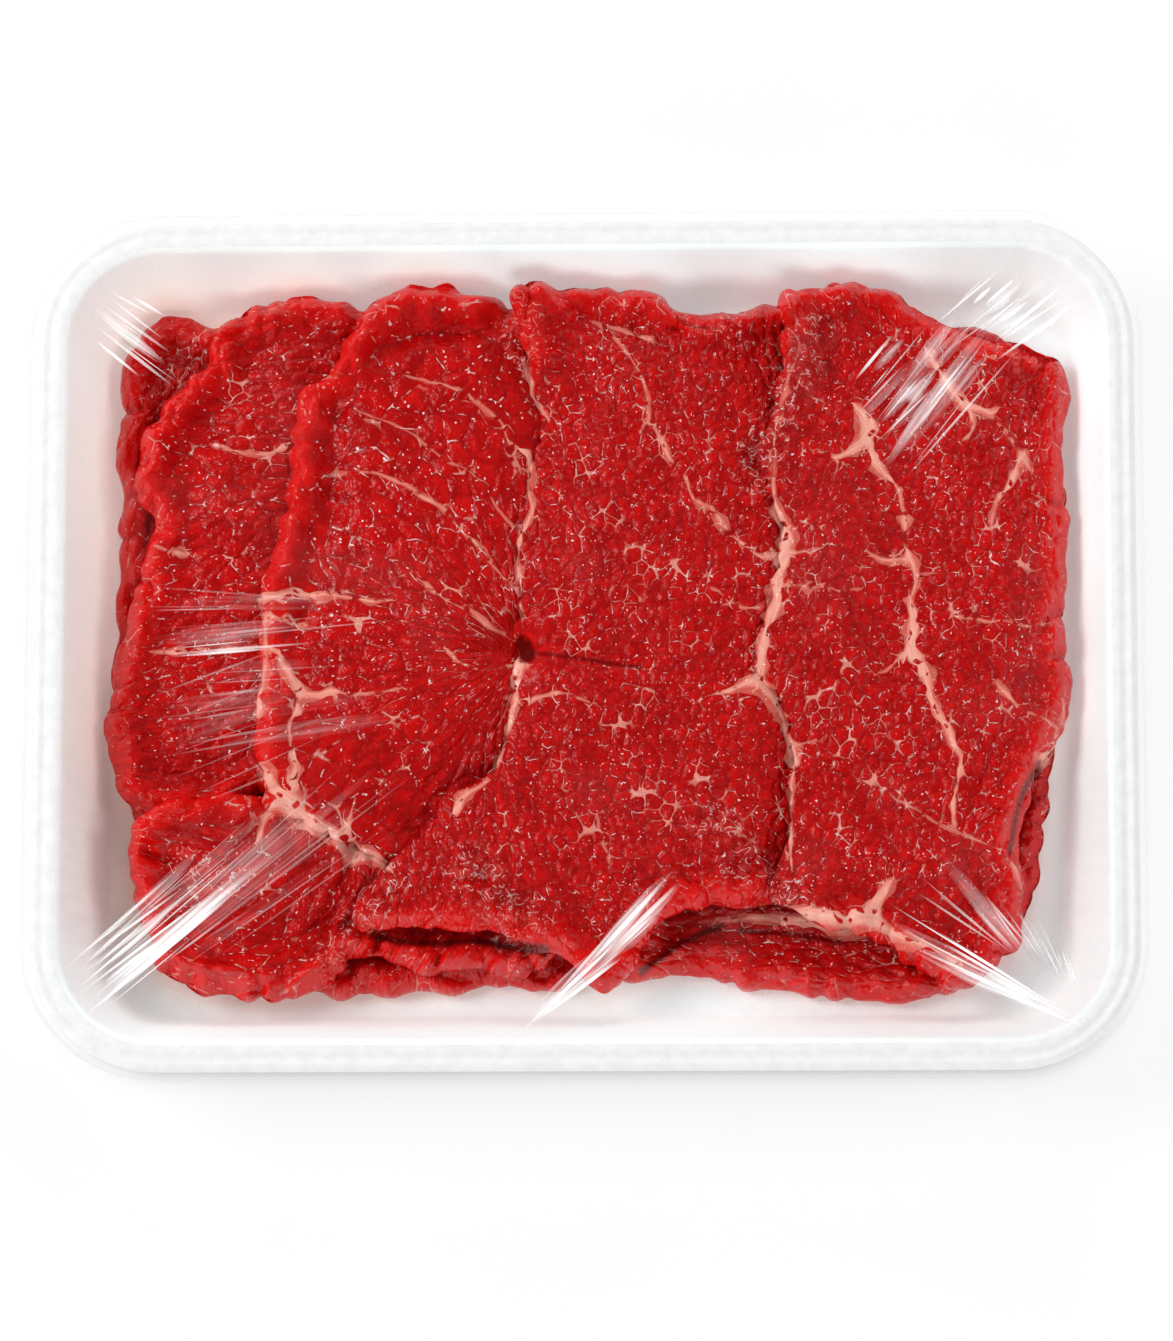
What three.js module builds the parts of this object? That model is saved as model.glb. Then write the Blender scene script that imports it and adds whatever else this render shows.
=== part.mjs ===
// Raw beef in a shop tray: a white foam tray, seven thin slices of raw beef that lie over each
// other in it, and the clear stretch film that wraps the tray and folds in under its base.
// Millimetres. X runs along the tray, Y from front to back, Z up from the flap it rests on.
import * as THREE from "three";

// Tray
const TRAY_LENGTH = 235;
const TRAY_WIDTH = 184;
const RIM_CORNER_RADIUS = 27;
const FLOOR_TOP = 3;
const BASE_UNDERSIDE = 0.8;
const INNER_CORNER_RADIUS = 4;

// Beef
const SLICE_THICKNESS = 4.5;
const EDGE_ROUNDING = 3.2;
const SIDE_HEIGHT_SHARE = 0.5;
const SIDE_TUCK = 1.2;
const GAP = 0.3;
const WALL_MARGIN = 0.45;
const DRAPE_REACH = 12;
const DRAPE_SOFTNESS = 6;

// Film
const FILM_THICKNESS = 0.4;
const FILM_SAG = 1.6;
const FLAP_WIDTH = 29;

// Mesh fineness
const CORNER_STEPS = 8;
const LONG_SIDE_STEPS = 8;
const SHORT_SIDE_STEPS = 6;
const MAIN_GRID = 19;
const LOWER_GRID = 15;

// The section of the tray, from its underside out round the lip and in to its floor: how far
// each point lies inside the rim's outer edge, and how high it is.
const TRAY_SECTION = [
  [18.5, BASE_UNDERSIDE],
  [16, BASE_UNDERSIDE],
  [14.2, 2.2],
  [5.6, 21.6],
  [4.2, 24],
  [1, 23.4],
  [0, 24.6],
  [0.3, 26.9],
  [1.4, 27.8],
  [2.7, 27.3],
  [4.2, 28.2],
  [6, 27.6],
  [7.2, 25.4],
  [14, 5.6],
  [15.6, 3.5],
  [18.5, FLOOR_TOP],
];
// The part of that section that the beef lies on, from the floor up the inner wall.
const BOWL_SECTION = TRAY_SECTION.slice(12).reverse();

// The film's outer section: the flap under the base, the straight skirt, and the rim.
const FILM_SECTION = [
  [15.6 + FLAP_WIDTH, 0],
  [15.6, 0],
  [13.5, 1.3],
  [-0.75, 23.6],
  [-0.85, 26.9],
  [1.1, 28.9],
  [4.2, 29.3],
  [7.4, 29.1],
];
const FILM_TOP_RINGS = [0.86, 0.64, 0.4, 0.18];

// The slices, in the order in which they were laid. An outline runs counter-clockwise from the
// front left corner; corners says which of its points are the other three corners. A fold is a
// ridge (a height above 0) or a crease (below 0) along its path.
const SLICES = [
  {
    name: "steak_1",
    grid: LOWER_GRID,
    outline: [
      [-86, -62], [-72, -69], [-54.5, -72.4], [-40, -71], [-25, -70.2], [-10, -70],
      [-9, -60], [-24, -20], [-30, 47], [-38, 70], [-50, 75], [-66, 76.5], [-81, 75],
      [-93, 76.5], [-98, 67], [-99.7, 48], [-98, 15], [-100.8, -10], [-95, -40],
    ],
    corners: [5, 9, 13],
    folds: [{ path: [[-95, 72], [-97, 50], [-95, 18]], width: 4, height: 0.8 }],
  },
  {
    name: "steak_2",
    grid: LOWER_GRID,
    outline: [
      [9, -67], [22, -68], [31, -70], [45, -72.4], [57, -73.4], [72, -73], [90, -60],
      [97, -35], [100.4, -8], [101.4, 15], [100.4, 43], [96, 65], [84, 73.5], [60, 75],
      [34, 73], [18, 60], [17, 4], [14, -48],
    ],
    corners: [6, 12, 15],
    folds: [{ path: [[30, -67], [50, -69], [70, -69]], width: 4, height: 0.9 }],
  },
  {
    name: "steak_3",
    grid: LOWER_GRID,
    outline: [
      [-97, -33], [-82, -35], [-62, -27], [-42, -14], [-18, -9], [2, -4], [9, 16],
      [6, 50], [-6, 68], [-24, 74], [-42, 76], [-54.5, 78.3], [-61.3, 82], [-69, 79.4],
      [-78, 75], [-82, 66], [-88.4, 58.5], [-96, 46], [-96.5, 37], [-92.5, 27],
      [-98, 5], [-101.4, -17],
    ],
    corners: [5, 8, 14],
    folds: [
      { path: [[-79, 71], [-85, 61], [-92, 50], [-93, 38]], width: 3, height: 1.5 },
      { path: [[-72, 66], [-80, 54], [-85, 44], [-86, 32]], width: 4, height: -1.5 },
      { path: [[-95, 8], [-97, -8], [-97, -26]], width: 4, height: 1.2 },
    ],
  },
  {
    name: "steak_4",
    grid: LOWER_GRID,
    outline: [
      [-89, -68], [-75, -72.6], [-58, -72], [-48, -65], [-35, -68], [-25, -67.4],
      [-14, -69.6], [-7, -65], [-10, -58], [-26, -52], [-44, -42.5], [-61, -32],
      [-76, -30.8], [-90, -32.7], [-96.4, -37], [-97.6, -46], [-96.6, -54], [-93, -62],
    ],
    corners: [6, 8, 13],
    folds: [
      { path: [[-90, -62], [-76, -68], [-60, -68]], width: 4, height: 1.2 },
      { path: [[-84, -50], [-66, -58], [-48, -58]], width: 5, height: -1.2 },
      { path: [[-93, -38], [-76, -35], [-62, -40]], width: 3, height: 0.9 },
    ],
  },
  {
    name: "steak_5",
    grid: MAIN_GRID,
    outline: [
      [-67.7, -34], [-61, -37.5], [-51, -41.5], [-41.7, -46.9], [-24, -49], [0, -47],
      [22, -40], [33, -20], [38, 10], [35, 44], [24, 66], [4, 73], [-18, 76.3],
      [-29.6, 81.5], [-37.3, 81.5], [-46, 77], [-50.7, 69.7], [-56, 62], [-61.3, 56.4], [-63.9, 44.7],
      [-64.3, 32.2], [-68.2, 21.8], [-69.7, 12.2], [-70.5, -1.1], [-70.1, -16.6],
    ],
    corners: [6, 10, 15],
    folds: [
      { path: [[-24, 77], [-37, 79], [-45, 75], [-53, 62], [-60.5, 53]], width: 3, height: 1.7 },
      { path: [[-61, 45], [-61.5, 32], [-65, 20], [-67, 8]], width: 3, height: 1.1 },
      { path: [[-18, 72.5], [-31, 68.5], [-38, 63], [-50, 58]], width: 3.4, height: -2.2 },
      { path: [[-62, -2], [-64, -20], [-58, -32], [-46, -38]], width: 4, height: 0.5 },
    ],
  },
  {
    name: "steak_6",
    grid: MAIN_GRID,
    outline: [
      [-49, -60], [-38.6, -60.5], [-28, -61], [-18.5, -61.5], [-9.6, -64.8], [-4.3, -67.4],
      [3, -74], [8, -71], [11.5, -64.5], [14.5, -59.3], [21, -56], [29.4, -55.4],
      [46, -52], [66, -46], [82, -36], [90, -8], [91, 24], [86, 54], [76, 68],
      [60, 76], [42, 78], [27, 75.4], [19.6, 76.5], [15, 81], [9.4, 82.2], [-3.2, 82.2], [-13.5, 80.4],
      [-15, 72], [-13, 63], [-9, 51], [-12, 38], [-14.5, 22], [-14, 10], [-15, -2],
      [-16, -10], [-19, -24.5], [-28, -32.5], [-35.5, -41], [-43, -49],
    ],
    corners: [6, 18, 26],
    folds: [
      { path: [[-11, 78], [0, 79.5], [10, 79], [16, 76]], width: 3, height: 1.6 },
      { path: [[0, 74], [11.5, 71], [23, 70.5]], width: 3.4, height: -2 },
      { path: [[-12.5, 2], [-9, 1.5]], width: 4.5, height: -3.4 },
      { path: [[-9, 2], [2, 0], [12, -1]], width: 2.6, height: -1.3 },
      { path: [[-42, -52], [-46, -58]], width: 3, height: 0.8 },
      { path: [[-17, -20], [-22, -29], [-30, -39]], width: 3, height: 0.7 },
      { path: [[-8, -60], [2, -69]], width: 4, height: 1.2 },
    ],
  },
  {
    name: "steak_7",
    grid: MAIN_GRID,
    outline: [
      [39.6, -55.5], [47.3, -58.6], [62.8, -63.4], [73.7, -69.5], [82, -70.6], [91, -60],
      [90.6, -44], [95, -27], [102.2, -13], [101, 3], [103, 20], [100.4, 44],
      [102.4, 58], [97.6, 65], [81, 71], [67, 79], [56, 82.4], [48, 80], [42, 78.4],
      [42.5, 66], [40.3, 49.5], [37.5, 41.8], [41.5, 28], [42, 19], [38, 3],
      [36.4, -4], [41.5, -11], [43.9, -22], [43.5, -36], [41, -49],
    ],
    corners: [4, 13, 18],
    folds: [
      { path: [[45, 77], [45, 64], [43, 50]], width: 3, height: 1.2 },
      { path: [[56, 79], [57, 68]], width: 3, height: 1.5 },
      { path: [[50, 74], [52, 58]], width: 3.4, height: -1.7 },
      { path: [[70, -66], [82, -66], [88, -56]], width: 3.4, height: 1.4 },
      { path: [[88, -38], [97, -18], [98, 2]], width: 4, height: 1.2 },
      { path: [[42, -54], [60, -60]], width: 3, height: 1.2 },
    ],
  },
];

// How far a point lies inside the rim's outer edge, measured square to that edge.
function insetAt(x, y) {
  const acrossX = Math.abs(x) - (TRAY_LENGTH / 2 - RIM_CORNER_RADIUS);
  const acrossY = Math.abs(y) - (TRAY_WIDTH / 2 - RIM_CORNER_RADIUS);
  const round = Math.hypot(Math.max(acrossX, 0), Math.max(acrossY, 0));
  return RIM_CORNER_RADIUS - round - Math.min(Math.max(acrossX, acrossY), 0);
}

// The height of the tray's inner surface at an inset, straight between the section's points.
function bowlHeight(inset) {
  const [floor] = BOWL_SECTION;
  if (inset >= floor[0]) return floor[1];
  const next = BOWL_SECTION.findIndex(([reach]) => reach <= inset);
  const [farInset, low] = BOWL_SECTION[Math.max(next, 1) - 1];
  const [nearInset, high] = BOWL_SECTION[Math.max(next, 1)];
  return low + ((high - low) * (farInset - inset)) / (farInset - nearInset);
}

// The ring of points that lies inset inside the rim's outer edge, counter-clockwise from above.
function ring(inset, height, scale = 1) {
  const radius = Math.max(RIM_CORNER_RADIUS - inset, INNER_CORNER_RADIUS);
  const centreX = TRAY_LENGTH / 2 - inset - radius;
  const centreY = TRAY_WIDTH / 2 - inset - radius;
  const signs = [[1, 1], [-1, 1], [-1, -1], [1, -1]];
  const points = [];
  signs.forEach(([signX, signY], corner) => {
    const [nextX, nextY] = signs[(corner + 1) % 4];
    for (let step = 0; step <= CORNER_STEPS; step++) {
      const angle = (corner + step / CORNER_STEPS) * (Math.PI / 2);
      points.push([
        signX * centreX + radius * Math.cos(angle),
        signY * centreY + radius * Math.sin(angle),
      ]);
    }
    const [lastX, lastY] = points.at(-1);
    const alongX = signX !== nextX;
    const steps = alongX ? LONG_SIDE_STEPS : SHORT_SIDE_STEPS;
    for (let step = 1; step < steps; step++) {
      const share = step / steps;
      points.push([
        alongX ? lastX * (1 - 2 * share) : lastX,
        alongX ? lastY : lastY * (1 - 2 * share),
      ]);
    }
  });
  return points.map(([x, y]) => {
    const at = [x * scale, y * scale];
    return [...at, typeof height === "function" ? height(...at) : height];
  });
}

// One closed skin over a row of rings, with a fan to the middle at both ends.
function loft(rings, firstMiddle, lastMiddle) {
  const count = rings[0].length;
  const positions = [...rings.flat(2), ...firstMiddle, ...lastMiddle];
  const first = rings.length * count;
  const last = first + 1;
  const index = [];
  for (let j = 0; j < count; j++) {
    const k = (j + 1) % count;
    const top = (rings.length - 1) * count;
    index.push(first, k, j, last, top + j, top + k);
    for (let i = 0; i + 1 < rings.length; i++) {
      const low = i * count;
      const high = low + count;
      index.push(low + j, low + k, high + k, low + j, high + k, high + j);
    }
  }
  return geometryOf(positions, index);
}

function geometryOf(positions, index) {
  const geometry = new THREE.BufferGeometry();
  geometry.setAttribute("position", new THREE.Float32BufferAttribute(positions, 3));
  geometry.setIndex(index);
  geometry.computeVertexNormals();
  return geometry;
}

function tray() {
  const rings = TRAY_SECTION.map(([inset, height]) => ring(inset, height));
  return loft(rings, [0, 0, BASE_UNDERSIDE], [0, 0, FLOOR_TOP]);
}

// The stretched top sinks a little towards its middle, as a shallow cushion upside down.
function filmTop(x, y) {
  const [inset, edge] = FILM_SECTION.at(-1);
  const alongX = 1 - (x / (TRAY_LENGTH / 2 - inset)) ** 2;
  const alongY = 1 - (y / (TRAY_WIDTH / 2 - inset)) ** 2;
  return edge - FILM_SAG * Math.sqrt(Math.max(alongX, 0) * Math.max(alongY, 0));
}

// The inner skin keeps the film's thickness inside the outer one, square to it.
function film() {
  const section = FILM_SECTION.map(([inset, height]) => new THREE.Vector2(inset, height));
  const inner = section.map((point, i) => {
    const before = section[Math.max(i - 1, 0)];
    const after = section[Math.min(i + 1, section.length - 1)];
    const along = after.clone().sub(before).normalize();
    return [point.x + along.y * FILM_THICKNESS, point.y - along.x * FILM_THICKNESS];
  });
  const [edgeInset] = FILM_SECTION.at(-1);
  const below = (x, y) => filmTop(x, y) - FILM_THICKNESS;
  const outerTop = FILM_TOP_RINGS.map((scale) => ring(edgeInset, filmTop, scale));
  const innerTop = FILM_TOP_RINGS.map((scale) => ring(edgeInset, below, scale));
  const rings = [
    ...innerTop.reverse(),
    ...inner.map(([inset, height]) => ring(inset, height)).reverse(),
    ...FILM_SECTION.map(([inset, height]) => ring(inset, height)),
    ...outerTop,
  ];
  return loft(rings, [0, 0, below(0, 0)], [0, 0, filmTop(0, 0)]);
}

// The height of the pile so far, on a grid with a point every millimetre.
const PILE_X = 125;
const PILE_Y = 100;
const PILE_COLUMNS = 2 * PILE_X + 1;
const PILE_ROWS = 2 * PILE_Y + 1;
const pile = new Float64Array(PILE_COLUMNS * PILE_ROWS);

// A grid in which each point has what pick finds among its neighbours, along X and then Y.
function filterGrid(grid, reach, pick) {
  const pass = (source, stepX, stepY) =>
    source.map((_, i) => {
      const column = i % PILE_COLUMNS;
      const row = Math.floor(i / PILE_COLUMNS);
      const near = [];
      for (let k = -reach; k <= reach; k++) {
        const x = Math.min(Math.max(column + k * stepX, 0), PILE_COLUMNS - 1);
        const y = Math.min(Math.max(row + k * stepY, 0), PILE_ROWS - 1);
        near.push(source[y * PILE_COLUMNS + x]);
      }
      return pick(near);
    });
  return pass(pass(grid, 1, 0), 0, 1);
}

// What the next slice lies on: the pile, widened so that its edges are bridged, and softened.
function drapedPile() {
  const highest = (near) => Math.max(...near);
  const mean = (near) => near.reduce((sum, value) => sum + value, 0) / near.length;
  return filterGrid(filterGrid(pile, DRAPE_REACH, highest), DRAPE_SOFTNESS, mean);
}

function sampleGrid(grid, x, y) {
  const column = Math.min(Math.max(x + PILE_X, 0), PILE_COLUMNS - 1.001);
  const row = Math.min(Math.max(y + PILE_Y, 0), PILE_ROWS - 1.001);
  const i = Math.floor(row) * PILE_COLUMNS + Math.floor(column);
  const shareX = column - Math.floor(column);
  const shareY = row - Math.floor(row);
  const front = grid[i] * (1 - shareX) + grid[i + 1] * shareX;
  const back = grid[i + PILE_COLUMNS] * (1 - shareX) + grid[i + PILE_COLUMNS + 1] * shareX;
  return front * (1 - shareY) + back * shareY;
}

// The shortest distance from a point to a path of straight stretches.
function distanceTo(path, x, y) {
  let best = Infinity;
  for (let i = 0; i + 1 < path.length; i++) {
    const [ax, ay] = path[i];
    const [bx, by] = path[i + 1];
    const squared = (bx - ax) ** 2 + (by - ay) ** 2 || 1;
    const along = ((x - ax) * (bx - ax) + (y - ay) * (by - ay)) / squared;
    const share = Math.min(Math.max(along, 0), 1);
    best = Math.min(best, Math.hypot(x - ax - share * (bx - ax), y - ay - share * (by - ay)));
  }
  return best;
}

// The four sides of a slice's outline: a smooth closed curve, cut at its corners, and each side
// walked by its length, from the left or from the front.
function sidesOf({ outline, corners }) {
  const points = outline.map(([x, y]) => new THREE.Vector3(x, y, 0));
  const curve = new THREE.CatmullRomCurve3(points, true, "catmullrom", 0.5);
  const stops = [0, ...corners, outline.length];
  const samples = 120;
  const sides = stops.slice(1).map((stop, i) => {
    const walk = Array.from({ length: samples + 1 }, (_, k) => {
      const at = stops[i] + ((stop - stops[i]) * k) / samples;
      const { x, y } = curve.getPoint((at / outline.length) % 1);
      return [x, y];
    });
    return i < 2 ? walk : walk.reverse();
  });
  const [south, east, north, west] = sides.map(walkEvenly);
  return { south, east, north, west, edge: sides };
}

function walkEvenly(path) {
  const reached = [0];
  for (let i = 1; i < path.length; i++) {
    const step = Math.hypot(path[i][0] - path[i - 1][0], path[i][1] - path[i - 1][1]);
    reached.push(reached[i - 1] + step);
  }
  return (share) => {
    const target = share * reached.at(-1);
    const next = Math.max(reached.findIndex((value) => value >= target), 1);
    const part = (target - reached[next - 1]) / (reached[next] - reached[next - 1] || 1);
    return path[next].map((value, axis) => path[next - 1][axis] * (1 - part) + value * part);
  };
}

// A point of the slice in plan, blended between its four sides.
function blend(sides, u, v) {
  const corner = { sw: sides.south(0), se: sides.south(1), nw: sides.north(0), ne: sides.north(1) };
  return [0, 1].map(
    (axis) =>
      (1 - v) * sides.south(u)[axis] +
      v * sides.north(u)[axis] +
      (1 - u) * sides.west(v)[axis] +
      u * sides.east(v)[axis] -
      (1 - v) * ((1 - u) * corner.sw[axis] + u * corner.se[axis]) -
      v * ((1 - u) * corner.nw[axis] + u * corner.ne[axis]),
  );
}

// One slice: a grid for its top and one for its underside, joined round a rounded edge. The
// underside lies on the tray and on the pile, and the top carries the folds and a soft swell.
function slice(spec, order) {
  const { grid, folds } = spec;
  const sides = sidesOf(spec);
  const draped = drapedPile();
  const middle = blend(sides, 0.5, 0.5);
  const spacing = (k) => (k / grid + (1 - Math.cos((Math.PI * k) / grid)) / 2) / 2;
  const edgeDistance = (x, y) => Math.min(...sides.edge.map((side) => distanceTo(side, x, y)));
  const lowest = (x, y) => {
    const bowl = bowlHeight(insetAt(x, y) - WALL_MARGIN);
    return Math.max(bowl, sampleGrid(draped, x, y)) + GAP;
  };
  const swell = (x, y) => 0.35 * Math.sin(x / 11 + order) + 0.35 * Math.sin(y / 13 - 2 * order);
  const relief = (x, y) =>
    folds.reduce(
      (sum, { path, width, height }) =>
        sum + height * Math.exp(-((distanceTo(path, x, y) / width) ** 2)),
      0,
    );
  const across = grid + 1;
  const top = [];
  const under = [];
  for (let row = 0; row <= grid; row++) {
    for (let column = 0; column <= grid; column++) {
      const [x, y] = blend(sides, spacing(column), spacing(row));
      const onEdge = row === 0 || column === 0 || row === grid || column === grid;
      const depth = onEdge ? 0 : Math.min(edgeDistance(x, y) / EDGE_ROUNDING, 1);
      const rounding = Math.sqrt(1 - (1 - depth) ** 2);
      const share = SIDE_HEIGHT_SHARE + (1 - SIDE_HEIGHT_SHARE) * rounding;
      const lift = SLICE_THICKNESS * share + (relief(x, y) + swell(x, y)) * rounding;
      top.push([x, y, lowest(x, y) + lift]);
      const inward = [middle[0] - x, middle[1] - y];
      const tuck = onEdge ? SIDE_TUCK / Math.hypot(...inward) : 0;
      const below = [x + inward[0] * tuck, y + inward[1] * tuck];
      under.push([...below, lowest(...below)]);
    }
  }
  const index = [];
  const offset = across * across;
  for (let row = 0; row < grid; row++) {
    for (let column = 0; column < grid; column++) {
      const a = row * across + column;
      const [b, c, d] = [a + 1, a + across + 1, a + across];
      index.push(a, b, c, a, c, d);
      index.push(offset + a, offset + c, offset + b, offset + a, offset + d, offset + c);
    }
  }
  const border = borderOf(grid);
  border.forEach((a, i) => {
    const b = border[(i + 1) % border.length];
    index.push(a, offset + b, b, a, offset + a, offset + b);
  });
  raise(top, index.slice(0, 12 * grid * grid), offset);
  return geometryOf([...top.flat(), ...under.flat()], index);
}

// The grid points round the border, counter-clockwise from the front left corner.
function borderOf(grid) {
  const across = grid + 1;
  const steps = Array.from({ length: grid }, (_, k) => k);
  return [
    ...steps,
    ...steps.map((k) => grid + k * across),
    ...steps.map((k) => grid * across + grid - k),
    ...steps.map((k) => (grid - k) * across),
  ];
}

// Raises the pile to the top faces of a slice.
function raise(top, index, topCount) {
  for (let i = 0; i < index.length; i += 3) {
    if (index[i] >= topCount) continue;
    const [a, b, c] = [top[index[i]], top[index[i + 1]], top[index[i + 2]]];
    const area = (b[0] - a[0]) * (c[1] - a[1]) - (b[1] - a[1]) * (c[0] - a[0]);
    if (Math.abs(area) < 1e-9) continue;
    const columns = [a, b, c].map(([x]) => x + PILE_X);
    const rows = [a, b, c].map(([, y]) => y + PILE_Y);
    for (let row = Math.ceil(Math.min(...rows)); row <= Math.max(...rows); row++) {
      for (let column = Math.ceil(Math.min(...columns)); column <= Math.max(...columns); column++) {
        const x = column - PILE_X;
        const y = row - PILE_Y;
        const second = ((x - a[0]) * (c[1] - a[1]) - (y - a[1]) * (c[0] - a[0])) / area;
        const third = ((b[0] - a[0]) * (y - a[1]) - (b[1] - a[1]) * (x - a[0])) / area;
        if (second < 0 || third < 0 || second + third > 1) continue;
        const height = a[2] + second * (b[2] - a[2]) + third * (c[2] - a[2]);
        const i = row * PILE_COLUMNS + column;
        pile[i] = Math.max(pile[i], height);
      }
    }
  }
}

// Colours and finishes
const foam = new THREE.MeshStandardMaterial({ color: 0xf2efea, roughness: 0.7 });
const beef = new THREE.MeshStandardMaterial({ color: 0xa81414, roughness: 0.35 });
const clearFilm = new THREE.MeshStandardMaterial({
  color: 0xffffff,
  roughness: 0.1,
  transparent: true,
  opacity: 0.15,
});

const group = new THREE.Group();

function add(name, geometry, material) {
  const mesh = new THREE.Mesh(geometry, material);
  mesh.name = name;
  group.add(mesh);
}

add("tray", tray(), foam);
SLICES.forEach((spec, order) => add(spec.name, slice(spec, order), beef));
add("film", film(), clearFilm);

export default group;
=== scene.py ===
# %% [markdown]
# A shop tray of raw beef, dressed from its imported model. The real object is three things: a foam
# tray, thin slices of beef that were laid in it one over another, and stretch film pulled round
# them. Each could be sculpted by hand, but every form here follows from a few sizes, so each is
# worked out as a surface on a grid of two parameters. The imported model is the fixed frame.

import bpy
import numpy as np
from mathutils import Matrix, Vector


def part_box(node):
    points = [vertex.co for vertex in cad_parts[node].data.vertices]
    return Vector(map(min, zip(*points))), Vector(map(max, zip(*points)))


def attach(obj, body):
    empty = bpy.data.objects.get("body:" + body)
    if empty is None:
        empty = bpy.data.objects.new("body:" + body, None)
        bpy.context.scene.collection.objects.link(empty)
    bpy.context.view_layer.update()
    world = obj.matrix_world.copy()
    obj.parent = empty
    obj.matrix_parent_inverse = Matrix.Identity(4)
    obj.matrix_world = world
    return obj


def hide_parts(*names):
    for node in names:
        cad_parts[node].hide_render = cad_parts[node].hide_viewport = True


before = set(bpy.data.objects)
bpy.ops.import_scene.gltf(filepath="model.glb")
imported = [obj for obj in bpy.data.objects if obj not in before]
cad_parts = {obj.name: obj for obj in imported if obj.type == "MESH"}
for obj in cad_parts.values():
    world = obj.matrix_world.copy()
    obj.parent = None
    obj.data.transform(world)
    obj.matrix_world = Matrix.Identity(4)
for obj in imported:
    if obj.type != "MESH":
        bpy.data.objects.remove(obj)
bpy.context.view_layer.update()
print("nodes:", sorted(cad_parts))

# %% [markdown]
# All sizes below are in millimetres, as a maker would give them, and become metres only where a
# mesh is filled. The tray's rim gives the frame that everything else is measured from.

# %% The sizes that the whole pack follows
MM = 0.001
tray_low, tray_high = (np.array(corner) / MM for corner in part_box("tray"))
RIM_HALF = tray_high[:2]
RIM_CORNER = 27.0
BASE_UNDERSIDE = 0.8
FLOOR_TOP = 3.0
SLICE_THICKNESS = 4.5
print("rim half sizes, mm:", RIM_HALF.round(1), "rim height, mm:", tray_high[2].round(1))

# %% [markdown]
# The photograph looks steeply down on the tray from 1.6 m, turned a little. Its camera comes
# first, because seams of fat and creases of film are easiest to point at in the picture: a pixel
# is followed back along its ray until it meets the height that the seam or crease lies at.

# %% The camera
PHOTO_SIZE = np.array([1173, 1341])
PHOTO_ORIGIN = np.array([588.7, 664.4])
VIEW_SIDE, VIEW_HEIGHT, VIEW_ROLL = np.radians([10.96, 79.07, -11.07])
VIEW_DISTANCE = 1600.0
VIEW_SCALE = 4.623 * VIEW_DISTANCE
SENSOR = 36.0

toward = np.array([
    np.sin(VIEW_SIDE) * np.cos(VIEW_HEIGHT),
    -np.cos(VIEW_SIDE) * np.cos(VIEW_HEIGHT),
    np.sin(VIEW_HEIGHT),
])
level = np.array([np.cos(VIEW_SIDE), np.sin(VIEW_SIDE), 0])
upright = np.cross(toward, level)
right = level * np.cos(VIEW_ROLL) + upright * np.sin(VIEW_ROLL)
up = upright * np.cos(VIEW_ROLL) - level * np.sin(VIEW_ROLL)

camera_data = bpy.data.cameras.new("camera")
camera_data.sensor_width = SENSOR
camera_data.lens = VIEW_SCALE / PHOTO_SIZE[1] * SENSOR
camera_data.shift_x, camera_data.shift_y = (PHOTO_SIZE / 2 - PHOTO_ORIGIN) * [1, -1] / PHOTO_SIZE[1]
camera_data.clip_end = 10
camera = bpy.data.objects.new("camera", camera_data)
axes = np.eye(4)
axes[:3] = np.stack([right, up, toward, toward * VIEW_DISTANCE * MM], -1)
camera.matrix_world = Matrix(axes.tolist())
bpy.context.scene.collection.objects.link(camera)
bpy.context.scene.camera = camera


def from_photo(pixels, height):
    """Where the rays through some pixels meet a height: the camera's place plus the part of each
    ray that takes its z down to that height."""
    away = (np.asarray(pixels, float)[:, :2] - PHOTO_ORIGIN) / VIEW_SCALE
    rays = away[:, :1] * right - away[:, 1:] * up - toward
    start = toward * VIEW_DISTANCE
    return (start + rays * (height - start[2]) / rays[:, 2:])[:, :2]


print("lens", round(camera_data.lens, 1), "mm; a middle pixel is at", from_photo([PHOTO_SIZE / 2], 20).round(1))

# %% [markdown]
# Natural surfaces need noise that is the same on every run. A table of seeded random numbers,
# read with smooth steps between its entries, gives soft bumps. The same table used for points
# scattered one to a square gives cells, as bundles of muscle fibre make them.

# %% Noise and cells
TABLE_SIZE = 64
table = np.random.default_rng(7).random((4, TABLE_SIZE, TABLE_SIZE))


def bumps(x, y, size, layer=0):
    """Smooth noise from -1 to 1: the four table entries round each point, blended by steps of
    the form t * t * (3 - 2 * t)."""
    x, y = np.asarray(x) / size, np.asarray(y) / size
    column, row = np.floor(x).astype(int), np.floor(y).astype(int)
    s, t = x - column, y - row
    s, t = s * s * (3 - 2 * s), t * t * (3 - 2 * t)
    near, far = row % TABLE_SIZE, (row + 1) % TABLE_SIZE
    left, beyond = column % TABLE_SIZE, (column + 1) % TABLE_SIZE
    low = table[layer, near, left] * (1 - s) + table[layer, near, beyond] * s
    high = table[layer, far, left] * (1 - s) + table[layer, far, beyond] * s
    return 2 * (low * (1 - t) + high * t) - 1


def cells(x, y, size):
    """Distance to the nearest of points scattered one to a square, in squares."""
    x, y = np.asarray(x) / size, np.asarray(y) / size
    column, row = np.floor(x).astype(int), np.floor(y).astype(int)
    nearest = np.full(x.shape, 9.0)
    for r in (-1, 0, 1):
        for c in (-1, 0, 1):
            at = (row + r) % TABLE_SIZE, (column + c) % TABLE_SIZE
            away = np.hypot(column + c + table[2][at] - x, row + r + table[3][at] - y)
            nearest = np.minimum(nearest, away)
    return nearest


def fade(value, start, end):
    """0 before start, 1 after end, and a smooth step between."""
    t = np.clip((value - start) / (end - start), 0, 1)
    return t * t * (3 - 2 * t)


print("noise starts", bumps(np.arange(4.0), 2.5, 3).round(2))

# %% [markdown]
# Two more tools serve every piece. A closed curve runs smoothly through a few chosen points, and
# the distance from a point to a path lets a fold or a seam of fat be drawn as a single stroke.

# %% Curves and strokes


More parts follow.
